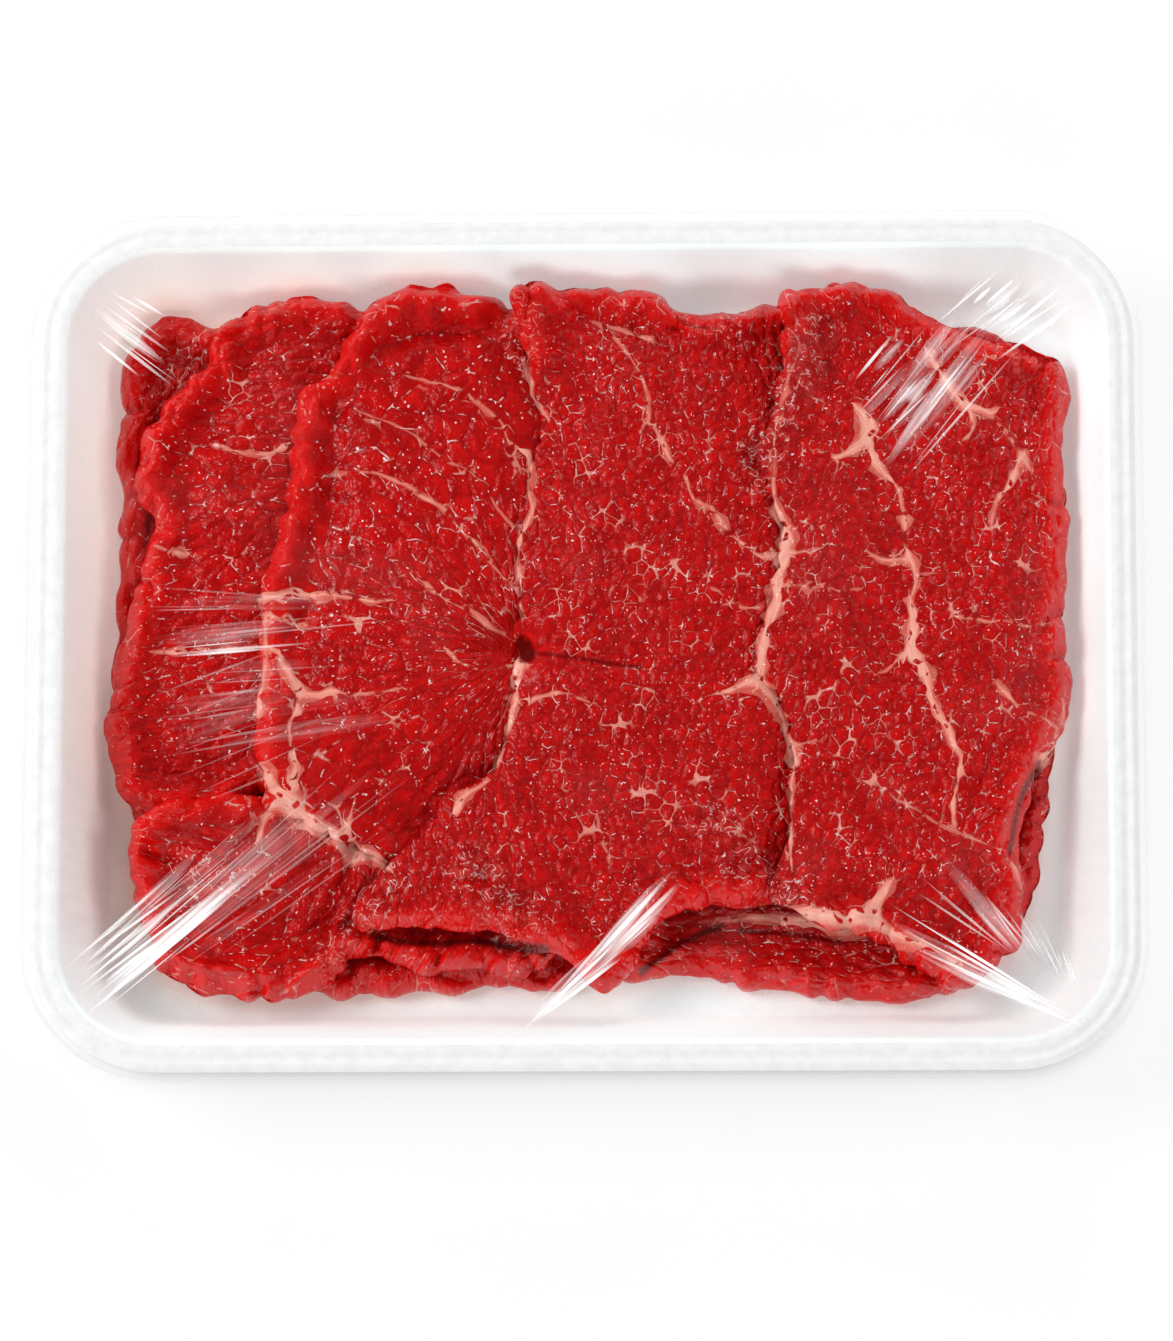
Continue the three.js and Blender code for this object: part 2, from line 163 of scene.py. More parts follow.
def closed_curve(points, steps):
    """A closed Catmull-Rom curve: between two points, a cubic whose slope at each is half the
    step from the point before to the point after."""
    p = np.asarray(points, float)
    t = (np.arange(steps) / steps)[None, :, None]
    a, b, c, d = (np.roll(p, shift, 0)[:, None, :] for shift in (1, 0, -1, -2))
    curve = b + 0.5 * t * (c - a + t * (2 * a - 5 * b + 4 * c - d + t * (3 * (b - c) + d - a)))
    return curve.reshape(-1, p.shape[1])


def open_curve(points, steps):
    """A smooth open curve: the closed one through the points and one more beyond each end,
    without the stretches outside the ends."""
    p = np.asarray(points, float)
    longer = np.concatenate([2 * p[:1] - p[1:2], p, 2 * p[-1:] - p[-2:-1]])
    return np.concatenate([closed_curve(longer, steps)[steps : -2 * steps], p[-1:]])


def stroke(path, x, y, widths=(0, 0)):
    """Half the width of a stroke less the distance to it: above 0 inside. The width changes
    evenly from one end of the path to the other."""
    half, away = along_stroke(path, x, y, widths)
    return half - np.abs(away)


def along_stroke(path, x, y, widths):
    """Half the width of the nearest part of a stroke, and the distance to it, which is below 0 on
    the right of the path."""
    path = np.asarray(path, float)
    halves = np.linspace(widths[0], widths[1], len(path)) / 2
    best_half, best_away = np.zeros(np.shape(x)), np.full(np.shape(x), 1e9)
    for k in range(len(path) - 1):
        along = path[k + 1] - path[k]
        dx, dy = x - path[k][0], y - path[k][1]
        share = np.clip((dx * along[0] + dy * along[1]) / (along @ along), 0, 1)
        away = np.hypot(dx - share * along[0], dy - share * along[1])
        half = halves[k] * (1 - share) + halves[k + 1] * share
        side = np.where(along[0] * dy - along[1] * dx < 0, -1, 1)
        nearer = half - away > best_half - np.abs(best_away)
        best_half = np.where(nearer, half, best_half)
        best_away = np.where(nearer, side * away, best_away)
    return best_half, best_away


print("a stroke 2 wide, at its middle:", stroke([[0, 0], [9, 0]], 4.0, 0.0, (2, 2)))

# %% [markdown]
# A mesh is filled from arrays: the points, the corners of all faces in one row, and how many
# corners each face has. Values that the materials read, such as where fat lies, ride along as
# attributes, and a pattern that follows the surface gets its own UV map.

# %% The mesh maker


def make_piece(name, points, faces, sizes, slot, nodes=(), attributes=None, uv=None):
    mesh = bpy.data.meshes.new(name)
    faces = np.asarray(faces, np.int32).ravel()
    sizes = np.asarray(sizes, np.int32)
    mesh.vertices.add(len(points))
    mesh.vertices.foreach_set("co", (np.asarray(points) * MM).astype(np.float32).ravel())
    mesh.loops.add(len(faces))
    mesh.loops.foreach_set("vertex_index", faces)
    mesh.polygons.add(len(sizes))
    mesh.polygons.foreach_set("loop_start", (np.cumsum(sizes) - sizes).astype(np.int32))
    mesh.polygons.foreach_set("use_smooth", np.ones(len(sizes), bool))
    mesh.update(calc_edges=True)
    for label, values in (attributes or {}).items():
        layer = mesh.attributes.new(label, "FLOAT", "POINT")
        layer.data.foreach_set("value", np.asarray(values, np.float32).ravel())
    if uv is not None:
        layer = mesh.uv_layers.new(name="surface")
        layer.data.foreach_set("uv", np.asarray(uv, np.float32)[faces].ravel())
    mesh.validate()
    piece = bpy.data.objects.new(name, mesh)
    bpy.context.scene.collection.objects.link(piece)
    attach(piece, "root")
    if nodes:
        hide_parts(*nodes)
    print(name, "has", len(points), "points and", int((sizes - 2).sum()), "triangles")
    return piece


def grid_faces(rows, columns, closed=True):
    """Corners of the squares of a grid of rows by columns, closed round its columns or not."""
    i, j = np.meshgrid(np.arange(rows - 1), np.arange(columns if closed else columns - 1), indexing="ij")
    k = (j + 1) % columns
    squares = [i * columns + j, i * columns + k, (i + 1) * columns + k, (i + 1) * columns + j]
    return np.stack(squares, -1).reshape(-1, 4)


# %% [markdown]
# The foam tray is one section carried round a rounded rectangle. A lathe would only make round
# trays, so the section gives two numbers instead: how far in from the rim's outer edge a ring
# lies, and how high.

# %% Rings round a rounded rectangle
CORNER_STEPS = 40
SIDE_STEPS = 56
INNER_CORNER = 4.0


def ring(inset, height, scale=1.0):
    """One row of points for each inset: quarter circles of the radius that is left at that
    inset, joined by straight sides, counter-clockwise. height is a number for each ring, or a
    function of x and y."""
    inset = np.atleast_1d(np.asarray(inset, float))[:, None]
    radius = np.maximum(RIM_CORNER - inset, INNER_CORNER)
    signs = np.array([[1, 1], [-1, 1], [-1, -1], [1, -1]])
    corners = []
    for corner, sign in enumerate(signs):
        angle = (corner + np.arange(CORNER_STEPS + 1) / CORNER_STEPS) * np.pi / 2
        centre = sign[:, None, None] * (RIM_HALF[:, None, None] - inset - radius)
        corners.append(np.stack([centre[0] + radius * np.cos(angle), centre[1] + radius * np.sin(angle)], -1))
    share = (np.arange(1, SIDE_STEPS) / SIDE_STEPS)[None, :, None]
    parts = []
    for corner, after in zip(corners, corners[1:] + corners[:1]):
        parts += [corner, corner[:, -1:] * (1 - share) + after[:, :1] * share]
    plan = np.concatenate(parts, 1) * np.reshape(scale, (-1, 1, 1))
    if callable(height):
        z = height(plan[..., 0], plan[..., 1])
    else:
        z = np.broadcast_to(np.reshape(height, (-1, 1)), plan.shape[:2])
    return np.concatenate([plan, z[..., None]], -1)


def inset_at(x, y):
    """How far inside the rim's outer edge a point lies, square to that edge."""
    across = np.stack([np.abs(x), np.abs(y)], -1) - (RIM_HALF - RIM_CORNER)
    outside = np.linalg.norm(np.maximum(across, 0), axis=-1)
    return RIM_CORNER - outside - np.minimum(across.max(-1), 0)


def loft(rings, first_middle, last_middle):
    """One closed skin over rows of rings, with a fan to a middle point at each end."""
    rows, columns = rings.shape[:2]
    points = np.concatenate([rings.reshape(-1, 3), [first_middle, last_middle]])
    quads = grid_faces(rows, columns)
    j = np.arange(columns)
    k = (j + 1) % columns
    first, last, top = rows * columns, rows * columns + 1, (rows - 1) * columns
    first_fan = np.stack([np.full(columns, first), k, j], -1)
    last_fan = np.stack([np.full(columns, last), top + j, top + k], -1)
    faces = np.concatenate([quads.ravel(), first_fan.ravel(), last_fan.ravel()])
    sizes = np.repeat([4, 3], [len(quads), 2 * columns])
    return points, faces, sizes


print("a ring has", ring(0, 0).shape[1], "points")

# %% [markdown]
# A real foam tray is pressed from a soft sheet, so nothing on it is sharp: the rim has a crown, a
# shallow groove and a rolled lip. A smooth curve runs through the few points of its section, and
# rings over its floor and foot keep those flat.

# %% The tray
TRAY_SECTION = np.array([
    [26, 0.8], [18.5, 0.8], [16, 0.85], [14.2, 2.2], [10, 11.8], [5.6, 21.6], [3.9, 23.6], [1.5, 23.3],
    [0.3, 24.0], [0, 25.3], [0.3, 26.9], [1.3, 27.75], [2.6, 27.5], [4.2, 28.15], [6.0, 27.7],
    [7.2, 25.6], [10.4, 16.1], [13.7, 6.4], [15.4, 3.9], [18.5, 3.05], [26, 3.0],
])
FLOOR_RINGS = [0.75, 0.5, 0.25]

section = open_curve(TRAY_SECTION, 5)
section[:, 1] = np.clip(section[:, 1], BASE_UNDERSIDE, tray_high[2])
tray_rings = np.concatenate([
    ring([26] * 3, [BASE_UNDERSIDE] * 3, FLOOR_RINGS[::-1]),
    ring(section[:, 0], section[:, 1]),
    ring([26] * 3, [FLOOR_TOP] * 3, FLOOR_RINGS),
])
tray = make_piece("foam_tray", *loft(tray_rings, [0, 0, BASE_UNDERSIDE], [0, 0, FLOOR_TOP]), "foam", ["tray"])

inner_wall = section[np.argmax(section[:, 1]):]


def bowl_height(inset):
    """Height of the tray's inner surface at an inset, straight between the section's points."""
    return np.interp(inset, inner_wall[:, 0], inner_wall[:, 1])


# %% [markdown]
# Each slice was cut thin and laid down soft, so it takes the form of whatever lies under it. That
# is the pile: a height for every millimetre of the tray. The next slice lies on the highest of
# what is near, averaged, which bridges the gaps that thin meat would bridge.

# %% The pile that the slices lie on
PILE_HALF = np.array([125, 100])
WALL_MARGIN = 0.45
DRAPE_REACH = 10
DRAPE_SOFTNESS = 8
pile = np.full(2 * PILE_HALF[::-1] + 1, FLOOR_TOP)


def near_values(grid, reach, axis):
    """All values within reach of each one, along one axis, as a further axis."""
    pad = [(reach, reach) if k == axis else (0, 0) for k in (0, 1)]
    return np.lib.stride_tricks.sliding_window_view(np.pad(grid, pad, "edge"), 2 * reach + 1, axis)


def draped(grid):
    """The highest value near each point, along one axis and then the other, and then the mean."""
    for axis in (0, 1):
        grid = near_values(grid, DRAPE_REACH, axis).max(-1)
    for axis in (0, 1):
        grid = near_values(grid, DRAPE_SOFTNESS, axis).mean(-1)
    return grid


def sample(grid, x, y):
    """A value between the four grid points round a place, each weighted by how close it is."""
    column = np.clip(x + PILE_HALF[0], 0, 2 * PILE_HALF[0] - 0.001)
    row = np.clip(y + PILE_HALF[1], 0, 2 * PILE_HALF[1] - 0.001)
    i, j = row.astype(int), column.astype(int)
    s, t = column - j, row - i
    low = grid[i, j] * (1 - s) + grid[i, j + 1] * s
    high = grid[i + 1, j] * (1 - s) + grid[i + 1, j + 1] * s
    return low * (1 - t) + high * t


def raise_pile(x, y, z):
    """Raises the pile to the points of a slice that lie on each square millimetre."""
    at = np.rint(y).astype(int) + PILE_HALF[1], np.rint(x).astype(int) + PILE_HALF[0]
    np.maximum.at(pile, at, z)


print("the pile has", pile.size, "heights")

# %% [markdown]
# The slices are listed in the order in which they were laid. An outline runs counter-clockwise
# from the front left corner, and three more of its points are corners, so that it has four sides
# like a sheet. A fold is a ridge, or a crease where its height is below 0. Along a thin stretch
# the slice was pressed flat against its neighbour, so that only a seam shows between them.

# %% The slices
SLICES = [
    {
        "outline": [
            [-86, -62], [-72, -69], [-54.5, -73], [-40, -72.5], [-25, -71.7], [-4, -71],
            [-3, -60], [-24, -20], [-30, 47], [-38, 70], [-50, 75], [-66, 75.5], [-81, 75],
            [-93, 77], [-99.5, 67], [-101.5, 48], [-101, 15], [-102.5, -10], [-97, -40],
        ],
        "corners": [5, 9, 13],
        "folds": [([[-95, 72], [-97, 50], [-95, 18]], 4, 0.8)],
        "thin": None,
        "spacing": 1.0, "grain": 80, "drawn": 1.2, "furrows": 0.15,
    },
    {
        "outline": [
            [5, -69], [20, -69], [31, -70.5], [45, -72.8], [57, -73.8], [73, -74], [92, -61],
            [98.5, -35], [101.5, -8], [102.4, 15], [102, 43], [98, 65], [84, 72], [60, 74],
            [34, 73], [18, 60], [17, 4], [14, -48],
        ],
        "corners": [6, 12, 15],
        "folds": [([[30, -67], [50, -69], [70, -69]], 4, 0.9)],
        "thin": None,
        "spacing": 0.8, "grain": 10, "drawn": 1.6, "furrows": 0.15,
    },
    {
        "outline": [
            [-97, -33], [-82, -35], [-62, -27], [-42, -14], [-18, -9], [2, -4], [9, 16],
            [6, 50], [-6, 68], [-24, 74], [-42, 75], [-54.5, 77.3], [-61.3, 79.4], [-69, 77.8],
            [-78, 73.5], [-82, 66], [-88.4, 58.5], [-96.5, 46], [-97.5, 37], [-94, 27],
            [-100, 5], [-103, -17],
        ],
        "corners": [5, 8, 14],
        "folds": [
            ([[-79, 71], [-85, 61], [-92, 50], [-93, 38]], 3, 1.5),
            ([[-72, 66], [-80, 54], [-85, 44], [-86, 32]], 4, -1.5),
            ([[-95, 8], [-97, -8], [-97, -26]], 4, 1.2),
        ],
        "thin": None,
        "spacing": 0.6, "grain": 15, "drawn": 1.4, "furrows": 0.18,
    },
    {
        "outline": [
            [-89, -69], [-75, -73.8], [-58, -73.4], [-48, -65], [-35, -69], [-25, -68.6],
            [-14, -69.6], [-7, -65], [-10, -58], [-26, -52], [-44, -42.5], [-61, -32],
            [-76, -30.8], [-90, -32.7], [-96.4, -37], [-97.6, -46], [-96.6, -54], [-93, -62],
        ],
        "corners": [6, 8, 13],
        "folds": [
            ([[-90, -62], [-76, -68], [-60, -68]], 4, 1.2),
            ([[-84, -50], [-66, -58], [-48, -58]], 5, -1.2),
            ([[-93, -38], [-76, -35], [-62, -40]], 3, 0.9),
        ],
        "thin": None,
        "spacing": 0.5, "grain": 40, "drawn": 2.2, "furrows": 0.8,
    },
    {
        "outline": [
            [-67.7, -34], [-61, -37.5], [-51, -41.5], [-41.7, -46.9], [-24, -49], [0, -47],
            [22, -40], [33, -20], [38, 10], [35, 44], [24, 66], [4, 73], [-18, 76.3],
            [-29.6, 80.4], [-37.3, 80.8], [-46, 77], [-50.7, 69.7], [-56, 62], [-61.3, 56.4],
            [-63.9, 44.7], [-64.3, 32.2], [-68.2, 21.8], [-69.7, 12.2], [-70.5, -1.1], [-70.1, -16.6],
        ],
        "corners": [6, 10, 15],
        "folds": [
            ([[-24, 76.5], [-37, 77.5], [-45, 73.5], [-53, 62], [-60, 52]], 4, 1.9),
            ([[-61, 45], [-61.5, 32], [-65, 20], [-67, 8]], 3, 1.8),
            ([[-20.6, 71.7], [-26.5, 70.5], [-35.6, 70.1], [-42.3, 67.9], [-48.9, 61.8], [-54.2, 54.2]], 3, -1.9),
            ([[-54.2, 54.2], [-54.5, 44], [-56.5, 33], [-61, 22]], 3, -1.3),
            ([[-62, -2], [-64, -20], [-58, -32], [-46, -38]], 4, 0.5),
            ([[-17, 1.5], [-11, 1.5]], 6, -3.0),
        ],
        "thin": ([[-48, -40], [-30, -42], [-14, -44]], 8),
        "spacing": 0.5, "grain": None, "drawn": 1.6, "furrows": 0.12,
    },
    {
        "outline": [
            [-49, -60], [-38.6, -60.5], [-28, -61], [-18.5, -61.5], [-9.6, -64.8], [-4.3, -67.4],
            [3, -74], [8, -71], [11.5, -64.5], [14.5, -59.3], [21, -56], [29.4, -55.4],
            [46, -52], [66, -46], [82, -36], [90, -8], [91, 24], [86, 54], [76, 68],
            [60, 74], [42, 76], [27, 73.6], [19.6, 74.2], [15, 78.4], [9.4, 79.4], [-3.2, 79],
            [-13.5, 79], [-15, 72], [-13, 63], [-9, 51], [-12, 38], [-14.5, 22], [-14, 10],
            [-15, -2], [-16, -10], [-19, -24.5], [-28, -32.5], [-35.5, -41], [-43, -49],
        ],
        "corners": [6, 18, 26],
        "folds": [
            ([[-11, 78], [0, 79.5], [10, 79], [16, 76]], 3, 1.6),
            ([[0, 74], [11.5, 71], [23, 70.5]], 3.4, -2),
            ([[-14, 1.8], [-12, 1.8]], 2.6, -1.0),
            ([[-12, 2.2], [-2, 5.5], [8, 9]], 2.0, -0.7),
            ([[-11, 1], [2, -0.5], [13, -2]], 2.2, -1.1),
            ([[-42, -52], [-46, -58]], 3, 0.8),
            ([[-17, -20], [-22, -29], [-30, -39]], 3, 0.7),
            ([[-8, -60], [2, -69]], 4, 1.2),
        ],
        "thin": ([[-9, 51], [-12, 38], [-14.5, 22], [-14, 10], [-15, -2], [-16, -10], [-19, -24.5],
                  [-28, -32.5], [-35.5, -41], [-42, -48]], 9),
        "spacing": 0.5, "grain": 95, "drawn": 0.9, "furrows": 0.12,
    },
    {
        "outline": [
            [39.6, -55.5], [47.3, -58.6], [62.8, -63.4], [73.7, -70.5], [82, -72], [93, -60],
            [92.6, -44], [96.5, -27], [103.2, -13], [102, 3], [103.6, 20], [102.4, 44],
            [103.6, 58], [98.6, 64.5], [81, 69.5], [67, 77.3], [56, 80.2], [48, 78.4], [42, 77],
            [42.5, 66], [40.3, 49.5], [37.5, 41.8], [41.5, 28], [42, 19], [38, 3],
            [36.4, -4], [41.5, -11], [43.9, -22], [43.5, -36], [41, -49],
        ],
        "corners": [4, 13, 18],
        "folds": [
            ([[45, 77], [45, 64], [43, 50]], 3, 1.2),
            ([[56, 79], [57, 68]], 3, 1.5),
            ([[50, 74], [52, 58]], 3.4, -1.7),
            ([[70, -66], [82, -66], [88, -56]], 3.4, 1.4),
            ([[88, -38], [97, -18], [98, 2]], 4, 1.2),
            ([[42, -54], [60, -60]], 3, 1.2),
        ],
        "thin": ([[40, 50], [37.5, 41.8], [41.5, 28], [42, 19], [38, 3], [36.4, -4], [41.5, -11],
                  [43.9, -22], [43.5, -36], [41, -49], [39.6, -55.5]], 10),
        "spacing": 0.5, "grain": 75, "drawn": 0.9, "furrows": 0.12,
    },
]
print(len(SLICES), "slices,", sum(len(spec["folds"]) for spec in SLICES), "folds")

# %% [markdown]
# Fat runs between the muscles as seams. They could be painted, but a seam is easier to draw as a
# stroke along a few pixels of the photograph, with a width in millimetres at each end. A star is
# a place where the web of thin fat between the bundles shows: it is only a point here, and the
# material draws the web round it.

# %% The seams of fat
SEAM_HEIGHT = 19.0
SEAMS = [
    ((0.6, 2.4), [(272, 603), (264, 622), (266, 650), (261, 690), (258, 716)]),
    ((2.6, 0.9), [(262, 596), (278, 597), (294, 590), (312, 592), (330, 594), (356, 598), (391, 599)]),
    ((1.0, 1.4), [(262, 612), (290, 622), (306, 620)]),
    ((1.4, 2.8), [(268, 646), (281, 652), (283, 664), (292, 676), (299, 692)]),
    ((1.6, 0.3), [(299, 692), (318, 693), (332, 690), (352, 694), (372, 693), (398, 690)]),
    ((1.8, 1.0), [(298, 695), (296, 710), (289, 723), (292, 740)]),
    ((0.8, 2.8), [(292, 740), (293, 760), (298, 776), (296, 792)]),
    ((1.4, 4.4), [(256, 764), (268, 776), (277, 793), (290, 806)]),
    ((4.4, 2.4), [(290, 806), (301, 819), (317, 829), (332, 838)]),
    ((3.0, 4.2), [(332, 838), (344, 844), (350, 850)]),
    ((3.0, 0.2), [(346, 840), (351, 822), (355, 803)]),
    ((1.6, 0.2), [(345, 832), (338, 812), (330, 806)]),
    ((2.6, 1.6), [(350, 850), (366, 853), (380, 861), (391, 874)]),
    ((3.2, 0.8), [(284, 806), (268, 812), (254, 838)]),
    ((0.7, 0.5), [(230, 803), (247, 808), (262, 815)]),
    ((0.7, 0.5), [(407, 375), (436, 381), (461, 390), (483, 405), (501, 417), (508, 438), (518, 470)]),
    ((0.3, 0.7), [(356, 409), (403, 428), (440, 455), (472, 472), (493, 501), (518, 531)]),
    ((0.5, 0.8), [(335, 472), (365, 472), (390, 478), (419, 493), (440, 506), (457, 527), (483, 550)]),
    ((0.7, 0.9), [(483, 550), (500, 572), (517, 590)]),
    ((0.5, 0.7), [(364, 566), (387, 574), (413, 574), (440, 594), (464, 604), (482, 618), (513, 634)]),
    ((0.9, 0.4), [(446, 650), (458, 662), (474, 668)]),
    ((0.9, 1.8), [(521, 354), (527, 369), (531, 384)]),
    ((1.8, 1.0), [(531, 384), (535, 396), (546, 413), (550, 428), (545, 439)]),
    ((1.0, 2.0), [(508, 438), (520, 446), (527, 454), (530, 466)]),
    ((1.4, 0.9), [(527, 454), (529, 480), (531, 512), (518, 539), (517, 572), (518, 597), (522, 626)]),
    ((0.6, 2.2), [(526, 641), (523, 655), (520, 666)]),
    ((0.4, 1.5), [(496, 668), (508, 665), (520, 666)]),
    ((2.4, 1.6), [(520, 666), (517, 680), (516, 699)]),
    ((1.4, 0.4), [(517, 699), (536, 700), (555, 696), (578, 699), (600, 707)]),
    ((1.8, 1.2), [(516, 699), (511, 712), (507, 731), (503, 754), (495, 772)]),
    ((1.2, 2.2), [(495, 772), (481, 786), (464, 797), (455, 810)]),
    ((0.5, 0.9), [(592, 321), (630, 332), (667, 345)]),
    ((0.4, 0.9), [(600, 324), (622, 345), (633, 364), (646, 388), (649, 425)]),
    ((0.8, 1.5), [(649, 425), (667, 455), (684, 476), (694, 500), (710, 508)]),
    ((1.2, 0.9), [(710, 508), (732, 536), (754, 556), (772, 556)]),
    ((0.4, 0.8), [(707, 588), (720, 592), (731, 603), (746, 609), (765, 606)]),
    ((0.3, 0.9), [(788, 332), (799, 353), (791, 377), (784, 400)]),
    ((0.5, 2.0), [(782, 400), (776, 440), (773, 480), (777, 512)]),
    ((2.0, 3.6), [(777, 512), (784, 535), (782, 558)]),
    ((3.6, 2.6), [(782, 558), (777, 584), (775, 606)]),
    ((2.6, 2.8), [(775, 606), (766, 634), (761, 660), (757, 680)]),
    ((3.2, 0.5), [(757, 680), (745, 684), (730, 691), (711, 696)]),
    ((2.6, 1.7), [(757, 680), (769, 696), (780, 713), (787, 733)]),
    ((1.7, 2.4), [(787, 733), (791, 748), (792, 762)]),
    ((2.2, 0.6), [(792, 762), (793, 787), (790, 820), (792, 868)]),
    ((1.6, 0.4), [(784, 553), (800, 552), (818, 549)]),
    ((1.4, 0.5), [(782, 588), (800, 588), (818, 585), (839, 592), (860, 590)]),
    ((1.0, 0.4), [(790, 745), (808, 744), (820, 738)]),
    ((2.0, 3.4), [(857, 408), (866, 417), (869, 428)]),
    ((3.4, 1.2), [(869, 430), (861, 444), (848, 454), (839, 460)]),
    ((0.9, 0.3), [(839, 460), (826, 456), (813, 453)]),
    ((0.9, 0.2), [(839, 460), (838, 470), (834, 480)]),
    ((2.8, 1.5), [(866, 436), (873, 455), (886, 474), (899, 489)]),
    ((1.5, 0.9), [(899, 489), (904, 516), (907, 547)]),
    ((1.8, 1.6), [(908, 550), (913, 566), (915, 582), (912, 600)]),
    ((1.8, 3.4), [(912, 600), (913, 623), (909, 648)]),
    ((3.4, 1.7), [(909, 648), (923, 671), (931, 696), (940, 713)]),
    ((1.7, 1.0), [(940, 713), (947, 727), (959, 759), (955, 787), (953, 822)]),
    ((2.0, 0.4), [(906, 652), (897, 657), (884, 669), (867, 672)]),
    ((1.0, 0.3), [(908, 560), (886, 560), (870, 554), (864, 545)]),
    ((0.9, 0.2), [(914, 578), (926, 574), (938, 574)]),
    ((1.0, 2.2), [(927, 353), (943, 380), (967, 404)]),
    ((2.6, 1.4), [(967, 404), (988, 412), (996, 410)]),
    ((2.0, 0.5), [(970, 406), (973, 428), (966, 440)]),
    ((0.5, 1.8), [(988, 412), (1006, 430), (1022, 454)]),
    ((2.0, 0.5), [(1022, 454), (1012, 478), (994, 503), (992, 527)]),
    ((1.4, 0.5), [(1022, 456), (1034, 476), (1035, 492), (1050, 500)]),
    ((0.5, 1.5), [(788, 584), (802, 588), (820, 587)]),
    ((0.9, 0.6), [(959, 615), (985, 620), (1007, 623), (1035, 627), (1050, 622)]),
    ((0.9, 0.5), [(995, 683), (1015, 703), (1039, 715), (1055, 723)]),
    ((1.2, 2.4), [(1066, 691), (1058, 731), (1043, 759)]),
    ((0.6, 0.8), [(892, 795), (920, 812), (947, 826), (980, 842), (1007, 854), (1023, 886)]),
    ((0.9, 4.0), [(892, 880), (880, 896), (868, 916)]),
    ((4.0, 1.2), [(868, 916), (840, 918), (800, 914), (760, 910), (715, 914)]),
    ((3.0, 1.2), [(868, 916), (890, 930), (930, 948), (960, 962)]),
    ((0.7, 0.4), [(610, 862), (604, 840), (598, 818)]),
    ((0.8, 2.2), [(245, 445), (262, 449), (280, 441)]),
    ((0.7, 0.4), [(215, 437), (232, 443), (250, 450)]),
    ((0.5, 0.9), [(155, 546), (170, 549), (187, 548)]),
    ((1.0, 0.8), [(150, 648), (185, 644), (220, 643), (255, 640)]),
]
STARS = [
    (610, 520), (652, 572), (672, 571), (632, 595), (991, 527), (959, 615), (824, 703), (843, 741),
    (645, 791), (666, 812), (844, 830), (816, 704), (875, 727), (850, 669), (818, 585), (240, 383),
    (270, 455), (450, 595), (482, 618), (360, 622), (497, 627), (393, 711), (407, 758), (690, 640),
    (640, 560), (585, 470), (700, 770), (735, 830), (660, 440), (985, 380), (1000, 640), (1030, 560),
    (560, 600), (575, 650), (560, 770), (620, 730), (640, 700), (870, 780), (905, 740), (585, 830),
]
STAR_REACH = 5.0
STAR_CORE = 1.2
WEB = 0.38
FAR = 4.0

seam_strokes = [(open_curve(from_photo(path, SEAM_HEIGHT), 4), widths) for widths, path in SEAMS]


def veins(x, y):
    """Three values for each point: how far inside a seam it lies, in mm, below 0 outside, then
    half the width of the nearest stroke and the distance to it, with a sign for its side. Depths
    are joined by the log of a sum of exponentials, which rounds off the angle between strokes as
    real fat does. The plan is first shifted by noise, so that no seam runs quite straight."""
    x = x + 0.45 * bumps(x, y, 5, 1) + 0.16 * bumps(x, y, 1.7, 3)
    y = y + 0.45 * bumps(x, y, 5, 2) + 0.16 * bumps(x, y, 1.7, 0)
    total = np.zeros(np.shape(x))
    best_half, best_away = np.zeros(np.shape(x)), np.full(np.shape(x), FAR)
    for path, widths in seam_strokes:
        reach = max(widths) / 2 + FAR
        near = (x > path[:, 0].min() - reach) & (x < path[:, 0].max() + reach)
        near &= (y > path[:, 1].min() - reach) & (y < path[:, 1].max() + reach)
        half, away = along_stroke(path, x[near], y[near], widths)
        slender = fade(half, 1.3, 0.5)
        swelling = 1.5 * np.maximum(bumps(x[near], y[near], 3.4, 3), 0) - 0.45
        half *= 1 + 0.3 * bumps(x[near], y[near], 2.6, 1) + slender * swelling
        total[near] += np.exp((half - np.abs(away)) / WEB)
        deeper = half - np.abs(away) > best_half[near] - np.abs(best_away[near])
        best_half[near] = np.where(deeper, half, best_half[near])
        best_away[near] = np.where(deeper, away, best_away[near])
    depth = np.maximum(WEB * np.log(np.maximum(total, 1e-9)), -FAR)
    return depth, best_half, best_away


def near_stars(x, y):
    """1 at a star and 0 beyond its reach, with a wandering edge."""
    stars = from_photo(STARS, SEAM_HEIGHT)
    nearest = np.full(np.shape(x), 99.0)
    for star in stars:
        nearest = np.minimum(nearest, np.hypot(x - star[0], y - star[1]))
    return 1 - fade(nearest + 1.5 * bumps(x, y, 3, 1), STAR_CORE, STAR_REACH)


print(len(seam_strokes), "strokes of fat")

# %% [markdown]
# In a few places the wet skin of the meat is crumpled like thin leather and shines, partly from lamps
# on its ridges and partly from painted highlights. These too are pointed at in the photograph: short
# strokes, with a width in millimetres. So are the narrow gaps and creases that no light reaches, whose
# shade is painted in as a dark red.

# %% Crumpled patches
CRUMPLES = [
    (7, [(522, 300), (520, 345)]), (8, [(812, 330), (790, 390), (755, 470)]),
    (6, [(325, 950), (360, 915), (395, 880)]), (9, [(715, 825), (750, 870), (790, 900)]),
    (10, [(470, 870), (520, 930)]), (6, [(180, 860), (240, 880)]), (6, [(690, 310), (740, 330)]),
]
CRUMPLE_EDGE = 3.0
GAPS = [
    (3.4, [(524, 643), (527, 655)]), (0.3, [(530, 654), (560, 657), (600, 663), (640, 668)]),
    (1.3, [(372, 932), (400, 938), (440, 940), (480, 938), (512, 944), (545, 950)]),
    (1.0, [(640, 966), (668, 945), (690, 930), (720, 918)]), (0.7, [(740, 922), (790, 926), (840, 934)]),
    (-0.3, [(412, 333), (440, 330), (465, 331), (492, 324)]),
    (-0.1, [(676, 318), (692, 327), (714, 332)]), (0.7, [(1040, 760), (1020, 800), (1010, 850)]),
]
GAP_EDGE = 0.8


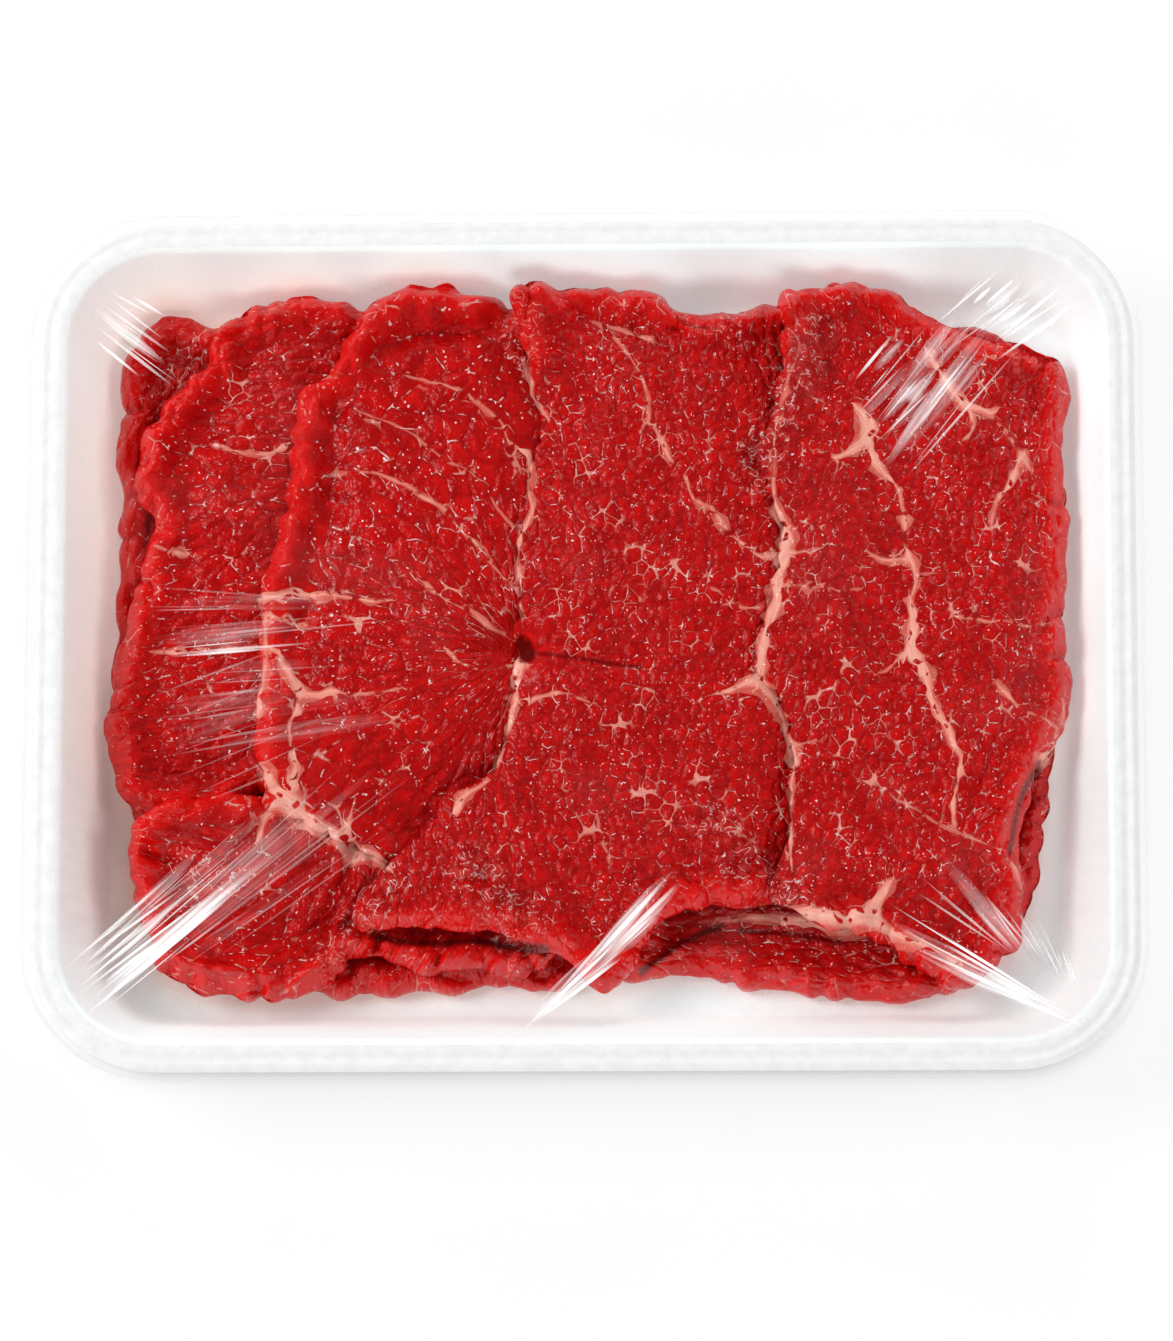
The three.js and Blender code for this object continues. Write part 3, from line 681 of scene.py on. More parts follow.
def share_inside(places, edge, x, y):
    """1 well inside any of the strokes and 0 outside, with a soft edge."""
    share = np.zeros(np.shape(x))
    for width, path in places:
        inside = stroke(open_curve(from_photo(path, SEAM_HEIGHT), 3), x, y, (width, width))
        share = np.maximum(share, fade(inside, -edge, edge / 2))
    return share


def clefts(x, y):
    """How strongly painted shade darkens the hollows between the lumps of a crumpled patch, from 0 to about a half.
    """
    return 0.5 * share_inside(CRUMPLES, CRUMPLE_EDGE, x, y) * fade(bumps(x, y, 4.5, 0), -0.3, -1.2)


print(len(CRUMPLES), "crumpled patches and", len(GAPS), "gaps")

# %% [markdown]
# A slice's grid is blended between its four sides: walking evenly along two opposite sides and
# sliding between them gives one sheet, the other two sides give another, and their sum less the
# flat blend of the corners meets all four. The rows crowd towards the edge, where it rounds over.

# %% A sheet between four sides
CURVE_STEPS = 40
CRINKLES = [(0.7, 7.0), (0.3, 2.4)]
LOBE_SIZE = 4.8
LOBE_REACH = 0.9
LOBE_HEIGHT = 1.4
LIP_RELIEF = 1.6
CRUMPLE_HEIGHT = 1.1


def outward(curve, reach):
    """The direction square to a closed curve, away from its inside."""
    along = np.roll(curve, -reach, 0) - np.roll(curve, reach, 0)
    along /= np.linalg.norm(along, axis=-1, keepdims=True)
    return np.stack([along[:, 1], -along[:, 0]], -1)


def lobes(x, y):
    """Round lobes with sharp notches between them: noise without its sign, less its mean."""
    return 2 * np.abs(bumps(x, y, LOBE_SIZE, 2)) - 0.6


def torn_outline(outline, order):
    """The smooth outline, moved in and out by noise and by its lobes, as a knife leaves it."""
    curve = closed_curve(outline, CURVE_STEPS)
    ragged = sum(depth * bumps(*curve.T, size, order % 4) for depth, size in CRINKLES)
    ragged += LOBE_REACH * lobes(*curve.T)
    return curve + outward(curve, 20) * ragged[:, None]


def spread(steps):
    """Shares from 0 to 1, half evenly and half by a cosine, so that both ends are denser."""
    even = np.arange(steps + 1) / steps
    return (even + (1 - np.cos(np.pi * even)) / 2) / 2


def walk(path, shares):
    """Points at given shares of a path's length."""
    reached = np.concatenate([[0], np.cumsum(np.linalg.norm(np.diff(path, axis=0), axis=1))])
    return np.stack([np.interp(shares * reached[-1], reached, path[:, axis]) for axis in (0, 1)], -1)


def sheet(south, east, north, west, u, v):
    """Slides between south and north, plus slides between west and east, less the blend of the
    four corners."""
    u, v = u[None, :, None], v[:, None, None]
    ends = (1 - v) * ((1 - u) * south[0] + u * south[-1]) + v * ((1 - u) * north[0] + u * north[-1])
    return (1 - v) * south + v * north + (1 - u) * west[:, None] + u * east[:, None] - ends


def edge_depth(points, curve):
    """The shortest distance from each point to a curve, in blocks to save memory."""
    curve_squares = (curve**2).sum(1)
    blocks = []
    for block in np.array_split(points.reshape(-1, 2), 12):
        squares = (block**2).sum(1)[:, None] + curve_squares - 2 * block @ curve.T
        blocks.append(np.sqrt(np.maximum(squares.min(1), 0)))
    return np.concatenate(blocks).reshape(points.shape[:-1])


print("shares of a side:", spread(4).round(2))

# %% [markdown]
# The top of a slice carries its folds, a soft swell, the bundles that the muscle is made of, and
# lumps along its rim. Round the pit in the middle, where the muscle is drawn together, the
# surface gathers in folds that all point at the pit.

# %% The relief of a slice
EDGE_ROUNDING = 3.2
PIT = from_photo([(523, 650)], SEAM_HEIGHT)[0]
GATHER_DEPTH = 0.4
ROLL_HEIGHT = 1.5
ROLL_PLACE = 3.8
ROLL_WIDTH = 3.0
HOLLOW_DEPTH = 0.9
HOLLOW_PLACE = 9.5


def round_pit(x, y):
    """Distance from the pit and the angle round it, which jumps only straight to its right."""
    return np.hypot(x - PIT[0], y - PIT[1]), np.arctan2(PIT[1] - y, PIT[0] - x)


def thinness(x, y, spec):
    """From 0 to 1: a bell across the stretch where a slice is pressed thin."""
    if spec["thin"] is None:
        return np.zeros(np.shape(x))
    path, width = spec["thin"]
    return np.exp(-((stroke(path, x, y) / width) ** 2))


def relief(x, y, depth, spec, order):
    """Folds are bells across their paths. Gathers are noise in the angle round the pit. Bundles
    are domes, one to a cell. All in mm."""
    height = 0.35 * np.sin(x / 11 + order) + 0.35 * np.sin(y / 13 - 2 * order)
    for path, width, rise in spec["folds"]:
        height += rise * np.exp(-((stroke(path, x, y) / width) ** 2))
    height += 0.35 * bumps(x, y, 9, order % 4) + 0.16 * bumps(x, y, 3.6, (order + 1) % 4)
    wander = 1.2 * bumps(x, y, 4, 1), 1.2 * bumps(x, y, 4, 3)
    loose = 1 - thinness(x, y, spec)
    lively = 1 + LIP_RELIEF * loose * (1 - fade(depth, 2, 14))
    height += 0.30 * lively * (0.5 - cells(x + wander[0], y + wander[1], 5.0) ** 2)
    height += 0.16 * lively * (0.5 - cells(x - wander[1], y + wander[0], 2.2) ** 2)
    uneven = 0.65 + 0.45 * bumps(x, y, 17, 3) + 0.35 * bumps(x, y, 5, 0)
    height += loose * uneven * ROLL_HEIGHT * np.exp(-(((depth - ROLL_PLACE) / ROLL_WIDTH) ** 2))
    height -= loose * uneven * HOLLOW_DEPTH * np.exp(-(((depth - HOLLOW_PLACE) / ROLL_WIDTH) ** 2))
    height += LOBE_HEIGHT * loose * (1 - fade(depth, 3, 11)) * lobes(x, y)
    height += CRUMPLE_HEIGHT * share_inside(CRUMPLES, CRUMPLE_EDGE, x, y) * bumps(x, y, 4.5, 0)
    along, across = np.moveaxis(grain_map(x, y, spec), -1, 0)
    height += spec["furrows"] * lively * bumps(along / 7, across / 1.9, 1, 3) * fade(round_pit(x, y)[0], 6, 16)
    away, turn = round_pit(x, y)
    gather = fade(away, 3, 12) * (1 - fade(away, 30, 52))
    if spec["grain"] is None:
        height += GATHER_DEPTH * gather * bumps(turn * 7, away / 26, 1, 2)
    return height


def grain_map(x, y, spec):
    """Along and across the fibres, in mm: round the pit these are the distance from it and the
    way round it, elsewhere the plan turned to the grain's direction. The first is divided by how
    far the fibre cells are drawn out."""
    if spec["grain"] is None:
        away, turn = round_pit(x, y)
        return np.stack([away / spec["drawn"], turn * 28], -1)
    angle = np.radians(spec["grain"] + 14 * bumps(x, y, 60, 1))
    along = x * np.cos(angle) + y * np.sin(angle)
    return np.stack([along / spec["drawn"], y * np.cos(angle) - x * np.sin(angle)], -1)


print("the pit is at", PIT.round(1))

# %% [markdown]
# A whole slice is then one closed skin: the top grid, a few rings that round under its edge, and
# a coarser grid below, where nothing shows. Wide stitches of seven corners join the fine rings to
# the coarse grid.

# %% Laying the slices
RIM_RINGS = 6
UNDER_TUCK = 1.6
RELIEF_PASSED_ON = 0.4
SIDE_SHARE = 0.5
SIDE_THINNING = 0.92
TOP_THINNING = 0.82
FLOOR_TUCK = 2.8
COARSE = 4


def lay_slice(order, spec):
    curve = torn_outline(spec["outline"], order)
    stops = [0, *spec["corners"], len(spec["outline"])]
    parts = [curve[np.arange(a * CURVE_STEPS, b * CURVE_STEPS + 1) % len(curve)] for a, b in zip(stops, stops[1:])]
    parts[2:] = [part[::-1] for part in parts[2:]]
    lengths = [np.linalg.norm(np.diff(part, axis=0), axis=1).sum() for part in parts]
    columns = COARSE * round(max(lengths[0], lengths[2]) / spec["spacing"] / COARSE)
    rows = COARSE * round(max(lengths[1], lengths[3]) / spec["spacing"] / COARSE)
    u, v = spread(columns), spread(rows)
    plan = sheet(*(walk(part, u if k % 2 == 0 else v) for k, part in enumerate(parts)), u, v)

    rest = draped(pile)
    lowest = lambda x, y: np.maximum(bowl_height(inset_at(x, y) - WALL_MARGIN), sample(rest, x, y))
    depth = edge_depth(plan, closed_curve(curve[::4], 3))
    depth[[0, -1]] = 0
    depth[:, [0, -1]] = 0
    x, y = plan[..., 0], plan[..., 1]
    rounding = np.sqrt(1 - (1 - np.minimum(depth / EDGE_ROUNDING, 1)) ** 2)
    side = SIDE_SHARE * (1 - SIDE_THINNING * thinness(x, y, spec))
    full = 1 - TOP_THINNING * thinness(x, y, spec)
    plain = lowest(x, y) + SLICE_THICKNESS * (side + (full - side) * rounding)
    raised = relief(x, y, depth, spec, order) * rounding
    z = plain + raised

    index = np.arange(plan.shape[0] * plan.shape[1]).reshape(plan.shape[:2])
    border = np.concatenate([index[0, :-1], index[:-1, -1], index[-1, :0:-1], index[:0:-1, 0]])
    edge = plan.reshape(-1, 2)[border]
    out = outward(edge, 5)
    around = len(border)
    turns = np.arange(1, RIM_RINGS + 1) / RIM_RINGS * np.pi / 2
    rings = edge - out * (UNDER_TUCK * (1 - np.cos(turns)))[:, None, None]
    ring_side = side.ravel()[border] * SLICE_THICKNESS * (1 - np.sin(turns))[:, None]
    ring_z = lowest(*np.moveaxis(rings, -1, 0)) + ring_side

    few = (edge - out * FLOOR_TUCK)[::COARSE]
    a, b = columns // COARSE, rows // COARSE
    loop = np.concatenate([few, few[:1]])
    floor_sides = loop[: a + 1], loop[a : a + b + 1], loop[a + b : 2 * a + b + 1][::-1], loop[2 * a + b :][::-1]
    floor_plan = sheet(*floor_sides, u[::COARSE], v[::COARSE])
    floor_z = lowest(floor_plan[..., 0], floor_plan[..., 1])

    first_ring, first_floor = index.size, index.size + rings.shape[0] * around
    top_faces = grid_faces(rows + 1, columns + 1, closed=False)
    loops = np.concatenate([border[None], first_ring + np.arange(RIM_RINGS * around).reshape(-1, around)])
    side_faces = np.stack([loops[:-1], loops[1:], np.roll(loops[1:], -1, 1), np.roll(loops[:-1], -1, 1)], -1)
    floor_index = first_floor + np.arange((a + 1) * (b + 1)).reshape(b + 1, a + 1)
    floor_faces = (first_floor + grid_faces(b + 1, a + 1, closed=False))[:, ::-1]
    inner = np.concatenate([
        floor_index[0, :-1], floor_index[:-1, -1], floor_index[-1, :0:-1], floor_index[:0:-1, 0],
    ])
    last = loops[-1]
    stitches = [last[::COARSE], inner, np.roll(inner, -1)]
    stitches += [np.roll(last, -k)[::COARSE] for k in (4, 3, 2, 1)]
    faces = [top_faces, side_faces.reshape(-1, 4), floor_faces, np.stack(stitches, -1)]

    points = np.concatenate([
        np.dstack([plan, z]).reshape(-1, 3),
        np.dstack([rings, ring_z]).reshape(-1, 3),
        np.dstack([floor_plan, floor_z]).reshape(-1, 3),
    ])
    rim = depth + 8 * thinness(x, y, spec)
    rim_sides = np.tile(rim.ravel()[border], RIM_RINGS)
    rim_below = np.zeros(len(points) - index.size - rim_sides.size)
    raise_pile(x.ravel(), y.ravel(), (plain + RELIEF_PASSED_ON * raised).ravel())
    fat, vein_half, vein_away = veins(points[:, 0], points[:, 1])
    return make_piece(
        f"beef_{order + 1}",
        points,
        np.concatenate([part.ravel() for part in faces]),
        np.concatenate([np.full(len(part), part.shape[1]) for part in faces]),
        "beef",
        [f"steak_{order + 1}"],
        {
            "fat": fat,
            "vein_half": vein_half,
            "vein_away": vein_away,
            "rim": np.concatenate([rim.ravel(), rim_sides, rim_below]),
            "crumple": share_inside(CRUMPLES, CRUMPLE_EDGE, points[:, 0], points[:, 1]),
            "gap_shade": np.maximum(share_inside(GAPS, GAP_EDGE, points[:, 0], points[:, 1]), clefts(*points[:, :2].T)),
            "star": near_stars(points[:, 0], points[:, 1]),
            "bare": 1 - fade(round_pit(points[:, 0], points[:, 1])[0], 4, 11),
        },
        grain_map(points[:, 0], points[:, 1], spec),
    )


slices = [lay_slice(order, spec) for order, spec in enumerate(SLICES)]
print("the pile now reaches", pile.max().round(1), "mm")

# %% [markdown]
# The stretch film is pulled tight over the rim, down the tray's sides and in under its base. It
# is a closed skin like the tray: a fine outer sheet, and an inner sheet close inside it.

# %% The film
FILM_SECTION = np.array([[44.6, 0], [15.6, 0], [13.5, 1.3], [-0.75, 23.6], [-0.85, 26.9], [1.1, 28.9], [4.2, 29.3], [7.4, 29.1]])
FILM_SKIN = 0.15
FILM_SAG = 1.6
TOP_RINGS = np.linspace(0.97, 0.04, 28)


def film_top(x, y):
    """The film sinks towards its middle by its sag times a half circle's height along each axis."""
    inset, edge = FILM_SECTION[-1]
    share = 1 - (np.stack([x, y], -1) / (RIM_HALF - inset)) ** 2
    return edge - FILM_SAG * np.sqrt(np.prod(np.maximum(share, 0), -1))


def film_height(x, y):
    """Height of the film's outer face over the rim as well as inside it."""
    inset = inset_at(x, y)
    over_rim = np.interp(inset, FILM_SECTION[4:, 0], FILM_SECTION[4:, 1])
    return np.where(inset > FILM_SECTION[-1, 0], film_top(x, y), over_rim)


def film_rings(thinner):
    """Rings from the flap under the base to the middle of the top, moved inwards by thinner."""
    outer = open_curve(FILM_SECTION[1:], 4)
    outer[:, 1] = np.clip(outer[:, 1], 0, FILM_SECTION[:, 1].max())
    outer = np.concatenate([[FILM_SECTION[0], (30, 0)], outer])
    along = np.gradient(outer, axis=0)
    along /= np.linalg.norm(along, axis=1, keepdims=True)
    skin = outer + np.stack([along[:, 1], -along[:, 0]], -1) * thinner
    top = ring([FILM_SECTION[-1, 0]] * len(TOP_RINGS), lambda x, y: film_top(x, y) - thinner, TOP_RINGS)
    return np.concatenate([ring(skin[:, 0], skin[:, 1]), top])


film_rows = np.concatenate([film_rings(FILM_SKIN)[::-1], film_rings(0)])
middle = film_top(0.0, 0.0)
film_points, film_faces, film_sizes = loft(film_rows, [0, 0, middle - FILM_SKIN], [0, 0, middle])
haze = 0.004 * fade(bumps(film_points[:, 0], film_points[:, 1], 16, 2), 0.5, 1.0)
film = make_piece("stretch_film", film_points, film_faces, film_sizes, "film", ["film"], {"haze": haze})

# %% [markdown]
# Where the film is gathered it folds into creases, and they are what the eye reads as film. Each
# crease is a thin sliver on the film's face, wide and high in its middle and drawn out to nothing
# at both ends. A fan of them starts along one short line and ends along another, both of which
# are given in pixels. Broad faint bands are the same shape, lower and wider.

# %% Creases in fans
CREASE_ROWS = 22
CREASE_SIDES = 8
FANS = [
    # starts from, to; ends from, to; creases, bands, width in mm, how strong
    [(60, 966), (98, 1018), (168, 878), (232, 905), 15, 2, 0.75, 1.0],
    [(84, 1008), (92, 1012), (262, 852), (300, 838), 6, 2, 1.0, 1.0],
    [(70, 970), (110, 1010), (250, 800), (330, 850), 8, 2, 0.45, 0.7],
    [(130, 960), (150, 975), (330, 770), (420, 780), 7, 4, 0.5, 0.45],
    [(110, 930), (165, 1000), (280, 790), (400, 840), 9, 7, 0.40, 0.40],
    [(82, 330), (112, 284), (166, 398), (188, 330), 9, 1, 0.6, 0.95],
    [(1000, 256), (1096, 300), (925, 330), (990, 372), 13, 5, 0.70, 1.0],
    [(940, 310), (1020, 350), (845, 425), (920, 480), 7, 9, 0.45, 0.8],
    [(890, 330), (950, 380), (835, 395), (880, 450), 5, 7, 0.6, 0.9],
    [(1052, 1004), (1086, 1028), (880, 895), (930, 965), 13, 4, 0.5, 1.0],
    [(1046, 968), (1084, 1004), (985, 895), (1064, 915), 9, 2, 0.40, 0.8],
    [(1020, 960), (1050, 985), (880, 870), (960, 850), 6, 3, 0.40, 0.6],
    [(515, 1036), (540, 1018), (602, 948), (645, 940), 7, 1, 0.7, 1.0],
    [(555, 995), (590, 980), (660, 872), (712, 866), 9, 5, 0.6, 0.9],
    [(146, 585), (150, 655), (330, 600), (400, 620), 6, 3, 0.4, 0.45],
    [(148, 650), (150, 660), (330, 632), (420, 640), 3, 1, 0.5, 0.8],
    [(146, 670), (148, 770), (350, 655), (430, 720), 7, 4, 0.4, 0.40],
    [(140, 700), (150, 840), (300, 640), (420, 720), 6, 3, 0.35, 0.35],
]
BAND_WIDTHS = (2.0, 4.2)


def sliver(start, end, width, rise):
    """Rings round a straight path: each is an ellipse whose half width and height are those of
    the crease times the square root of a sine of the share of its length."""
    share = np.linspace(0, 1, CREASE_ROWS)[:, None]
    turn = np.arange(CREASE_SIDES) / CREASE_SIDES * 2 * np.pi
    along = (end - start) / np.linalg.norm(end - start)
    full = np.sin(np.pi * np.clip(share, 0.004, 0.996)) ** 0.6
    across = width / 2 * full * np.cos(turn)
    x = start[0] + share * (end - start)[0] - along[1] * across
    y = start[1] + share * (end - start)[1] + along[0] * across
    z = film_height(x, y) + rise * full * np.sin(turn)
    uv = np.stack(np.broadcast_arrays(share * np.linalg.norm(end - start), across), -1)
    return np.stack([x, y, z], -1), uv, np.broadcast_to(full, x.shape)


points, uvs, strengths, bands = [], [], [], []
rng = np.random.default_rng(5)
for a, b, c, d, creases, broad, width, strong in FANS:
    corners = from_photo([a, b, c, d], film_top(0.0, 0.0) + 1)
    kinds = [False] * creases + [True] * broad
    for k, is_band in enumerate(kinds):
        t = rng.uniform(0.1, 0.9) if is_band else (k + rng.uniform(0, 1)) / creases
        s = np.clip(t + rng.uniform(-0.12, 0.12), 0, 1)
        start = corners[0] * (1 - t) + corners[1] * t
        end = corners[2] * (1 - s) + corners[3] * s
        head, tail = rng.uniform(-0.05, 0.30), rng.uniform(0.45, 1.10)
        start, end = start + (end - start) * head, start + (end - start) * tail
        wide = rng.uniform(*BAND_WIDTHS) if is_band else width * rng.uniform(0.35, 1.3)
        place, uv, full = sliver(start, end, wide, 0.08 if is_band else 0.22)
        points.append(place)
        uvs.append(uv + 40 * len(points))
        strengths.append(full * strong * rng.uniform(0.6, 1.0))
        bands.append(np.full(full.shape, float(is_band)))

crease_grid = grid_faces(CREASE_ROWS, CREASE_SIDES)
per_crease = CREASE_ROWS * CREASE_SIDES
first = np.arange(len(points))[:, None, None] * per_crease
tips = np.stack([np.arange(CREASE_SIDES)[::-1], per_crease - CREASE_SIDES + np.arange(CREASE_SIDES)])
crease_faces = [(first + crease_grid).ravel(), (first + tips).ravel()]
creases = make_piece(
    "film_creases",
    np.concatenate([part.reshape(-1, 3) for part in points]),
    np.concatenate(crease_faces),
    np.repeat([4, CREASE_SIDES], [len(points) * len(crease_grid), 2 * len(points)]),
    "film",
    (),
    {"strength": np.concatenate([part.ravel() for part in strengths]), "band": np.concatenate([part.ravel() for part in bands])},
    np.concatenate([part.reshape(-1, 2) for part in uvs]),
)

# %% [markdown]
# Materials are networks of nodes. A short helper adds one node with its settings and connects
# what goes into it, so that each material below reads as a list of steps. Patterns work in
# millimetres: the object's own coordinates times a thousand.

# %% Helpers for materials


def add(tree, kind, inputs=None, **settings):
    """Adds a node. An input given as a socket is connected, and any other value is set."""
    new = tree.nodes.new("ShaderNode" + kind)
    for name, value in settings.items():
        setattr(new, name, value)
    for name, value in (inputs or {}).items():
        if isinstance(value, bpy.types.NodeSocket):
            tree.links.new(value, new.inputs[name])
        else:
            new.inputs[name].default_value = value
    return new


def maths(tree, operation, *values, clamp=False):
    return add(tree, "Math", dict(enumerate(values)), operation=operation, use_clamp=clamp).outputs[0]


def ramp(tree, value, start, end, low=0.0, high=1.0):
    """Low before start, high after end, and a smooth step between. start may be above end."""
    inputs = {"Value": value, "From Min": start, "From Max": end, "To Min": low, "To Max": high}
    return add(tree, "MapRange", inputs, interpolation_type="SMOOTHSTEP").outputs["Result"]


def mix(tree, share, first, second):
    """One colour turning into another."""
    node = add(tree, "Mix", data_type="RGBA")
    sockets = [node.inputs[0], node.inputs[6], node.inputs[7]]
    for socket, value in zip(sockets, (share, first, second)):
        if isinstance(value, bpy.types.NodeSocket):
            tree.links.new(value, socket)
        else:
            socket.default_value = value
    return node.outputs[2]


def noise(tree, point, scale, detail=2.0, out="Fac"):
    """Soft noise in the plane of x and y, which renders faster than noise in space."""
    inputs = {"Vector": point, "Scale": scale, "Detail": detail}
    return add(tree, "TexNoise", inputs, noise_dimensions="2D").outputs[out]


def cell(tree, point, scale, feature="F1"):
    """A pattern of cells in the plane of x and y: the whole node, as two outputs are used."""
    inputs = {"Vector": point, "Scale": scale}
    return add(tree, "TexVoronoi", inputs, feature=feature, voronoi_dimensions="2D").outputs


def stretch(tree, point, factors):
    return add(tree, "Mapping", {"Vector": point, "Scale": factors}).outputs[0]


def new_material(name):
    material = bpy.data.materials.new(name)
    material.use_nodes = True
    tree = material.node_tree
    tree.nodes.clear()
    shader = add(tree, "BsdfPrincipled")
    output = add(tree, "OutputMaterial", {"Surface": shader.outputs[0]})
    output.name = "output"
    return material, tree, shader


def in_mm(tree):
    """The object's own coordinates, in millimetres."""
    return stretch(tree, add(tree, "TexCoord").outputs["Object"], (1000, 1000, 1000))


def uv_mm(tree):
    return add(tree, "UVMap", uv_map="surface").outputs[0]


def set_bump(tree, shader, height_mm, strength=1.0):
    """A bump from a height in millimetres."""
    bump = add(tree, "Bump", {"Height": height_mm, "Distance": MM, "Strength": strength})
    tree.links.new(bump.outputs[0], shader.inputs["Normal"])
    return bump.outputs[0]


# %% [markdown]
# Foam and floor both need a little unevenness at several scales, so this is a node group,
# built once and placed in each with its own scale.

# %% The mottling group


def make_mottling():
    group = bpy.data.node_groups.new("mottling", "ShaderNodeTree")
    for name, kind in (("Point", "NodeSocketVector"), ("Scale", "NodeSocketFloat"), ("Wander", "NodeSocketFloat")):
        group.interface.new_socket(name, in_out="INPUT", socket_type=kind)
    for name in ("Worms", "Blotches"):
        group.interface.new_socket(name, in_out="OUTPUT", socket_type="NodeSocketFloat")
    given = group.nodes.new("NodeGroupInput").outputs
    scaled = add(group, "VectorMath", {0: given["Point"]}, operation="SCALE")
    group.links.new(given["Scale"], scaled.inputs["Scale"])
    bend = noise(group, scaled.outputs[0], 0.5, 2, "Color")
    wander = add(group, "VectorMath", {0: bend}, operation="SCALE")
    group.links.new(given["Wander"], wander.inputs["Scale"])
    moved = add(group, "VectorMath", {0: scaled.outputs[0], 1: wander.outputs[0]}).outputs[0]
    worms = ramp(group, cell(group, moved, 1.0, "DISTANCE_TO_EDGE")["Distance"], 0.0, 0.25)
    blotches = noise(group, scaled.outputs[0], 0.35, 4)
    out = group.nodes.new("NodeGroupOutput")
    group.links.new(worms, out.inputs["Worms"])
    group.links.new(blotches, out.inputs["Blotches"])
    return group


mottling = make_mottling()


def mottled(tree, point, scale, wander):
    node = add(tree, "Group", node_tree=mottling)
    tree.links.new(point, node.inputs["Point"])
    node.inputs["Scale"].default_value = scale
    node.inputs["Wander"].default_value = wander
    return node.outputs["Worms"], node.outputs["Blotches"]


print("the mottling group has", len(mottling.nodes), "nodes")

# %% [markdown]
# Expanded foam is white and matt, with a skin of fine worm-like wrinkles that were left when its
# bubbles burst against the mould. Its inner walls carry a faint cool painted glow. Part of it is the light
# that the thin foam lets through from outside. The rest is painted light that lifts their shade, most
# beside the meat, and balances the red that the meat throws on them. Close to the meat the foam is
# darkened by a warm painted shade, strongest on the left.

# %% Foam


def make_foam():
    material, tree, shader = new_material("white_foam")
    point = in_mm(tree)
    worms, blotches = mottled(tree, point, 0.9, 2.2)
    fine, _ = mottled(tree, point, 2.6, 1.5)
    shade = ramp(tree, blotches, 0.3, 0.7)
    colour = mix(tree, shade, (0.88, 0.885, 0.885, 1), (0.93, 0.934, 0.934, 1))
    # Painted light: a cool glow, in colour and in emission, lifts the shade on the inner walls and balances the red
    # that the meat throws on them.
    painted_glow = add(tree, "Attribute", attribute_name="painted_glow").outputs["Fac"]
    colour = mix(tree, painted_glow, colour, (0.85, 0.93, 0.94, 1))
    # Painted shade: a warm darkening of the foam close to the meat.
    warm_shade = add(tree, "Attribute", attribute_name="warm_shade").outputs["Fac"]
    colour = mix(tree, warm_shade, colour, (0.86, 0.50, 0.33, 1))
    tree.links.new(colour, shader.inputs["Base Color"])
    shader.inputs["Roughness"].default_value = 0.5
    shader.inputs["Specular IOR Level"].default_value = 0.3
    tree.links.new(mix(tree, painted_glow, (0, 0, 0, 1), (0.84, 1, 1, 1)), shader.inputs["Emission Color"])
    shader.inputs["Emission Strength"].default_value = 0.30
    material.cycles.emission_sampling = "NONE"
    lumps = maths(tree, "ADD", maths(tree, "MULTIPLY", worms, 0.03), maths(tree, "MULTIPLY", fine, 0.02))
    set_bump(tree, shader, lumps)
    return material


WARM_SHADE_REACH = 3.6
PAINTED_GLOW_REACH = 7.0
tray_points = tray_rings.reshape(-1, 3)
meat_edge = np.concatenate([closed_curve(spec["outline"], 12) for spec in SLICES])
meat_distance = edge_depth(tray_points[:, :2], meat_edge)
on_left = fade(tray_points[:, 0], 20, -90) * fade(tray_points[:, 1], -90, -55)
upwards = fade(tray_points[:, 1], -70, 70)
first_inside = len(FLOOR_RINGS) + np.argmax(section[:, 1]) + 2
inside = np.repeat(np.arange(len(tray_rings)) > first_inside, tray_rings.shape[1])
# The warm painted shade close to the meat, which reaches further and is stronger on the left.
warm_shade = inside * np.exp(-meat_distance / (WARM_SHADE_REACH * (0.4 + 0.8 * on_left))) * (0.40 + 0.60 * on_left)
near_meat = np.exp(-meat_distance / PAINTED_GLOW_REACH)
on_right = fade(tray_points[:, 0], 20, 90)
# Painted glow that lifts the shade on the inner walls: stronger on the open walls towards the front, weaker on the
# left and right, and strongest beside the meat at the back, where its shade falls.
open_wall = (0.9 - 0.60 * upwards) * (1 - 0.9 * on_left) * (1 - 0.7 * on_right)
beside_meat = (1.6 * upwards - 0.15 + 0.60 * on_right + 0.25 * on_left) * near_meat
painted_glow = inside * np.clip(open_wall + beside_meat, 0, None)
warm_shade, painted_glow = np.append(warm_shade, [0, 0]), np.append(painted_glow, [0, 0.5])
for label, values in (("warm_shade", warm_shade), ("painted_glow", painted_glow)):
    layer = tray.data.attributes.new(label, "FLOAT", "POINT")
    layer.data.foreach_set("value", values.astype(np.float32))
foam = make_foam()
tray.data.materials.append(foam)

# %% [markdown]
# Beef is read from its colours first. Lean meat is a deep red with hardly any green or blue in
# it, darker and lighter by the bundle. Fat is a pale salmon. Fine lines of fat run between the
# bundles and thicken where three of them meet. Short wet glints, painted into the colour as
# highlights, follow the grain. Shade is painted into the grooves, gaps and creases, and light into
# the lighter red of the thin lips.

# %% Beef
LEAN_DARK = (0.36, 0.0012, 0.0014, 1)
LEAN_MIDDLE = (0.54, 0.0024, 0.0024, 1)
LEAN_BRIGHT = (0.69, 0.004, 0.0035, 1)
LIP_LIT_RED = (0.80, 0.006, 0.004, 1)
SKIN_PINK = (0.78, 0.075, 0.065, 1)
FAT_DEEP = (0.80, 0.20, 0.15, 1)
FAT_PALE = (0.94, 0.47, 0.37, 1)
FAT_LINE = (0.86, 0.34, 0.27, 1)
PAINTED_GLINT = (1.0, 0.80, 0.78, 1)
GROOVE_SHADE_RED = (0.20, 0.0015, 0.0015, 1)
GAP_SHADE_RED = (0.05, 0.0012, 0.001, 1)


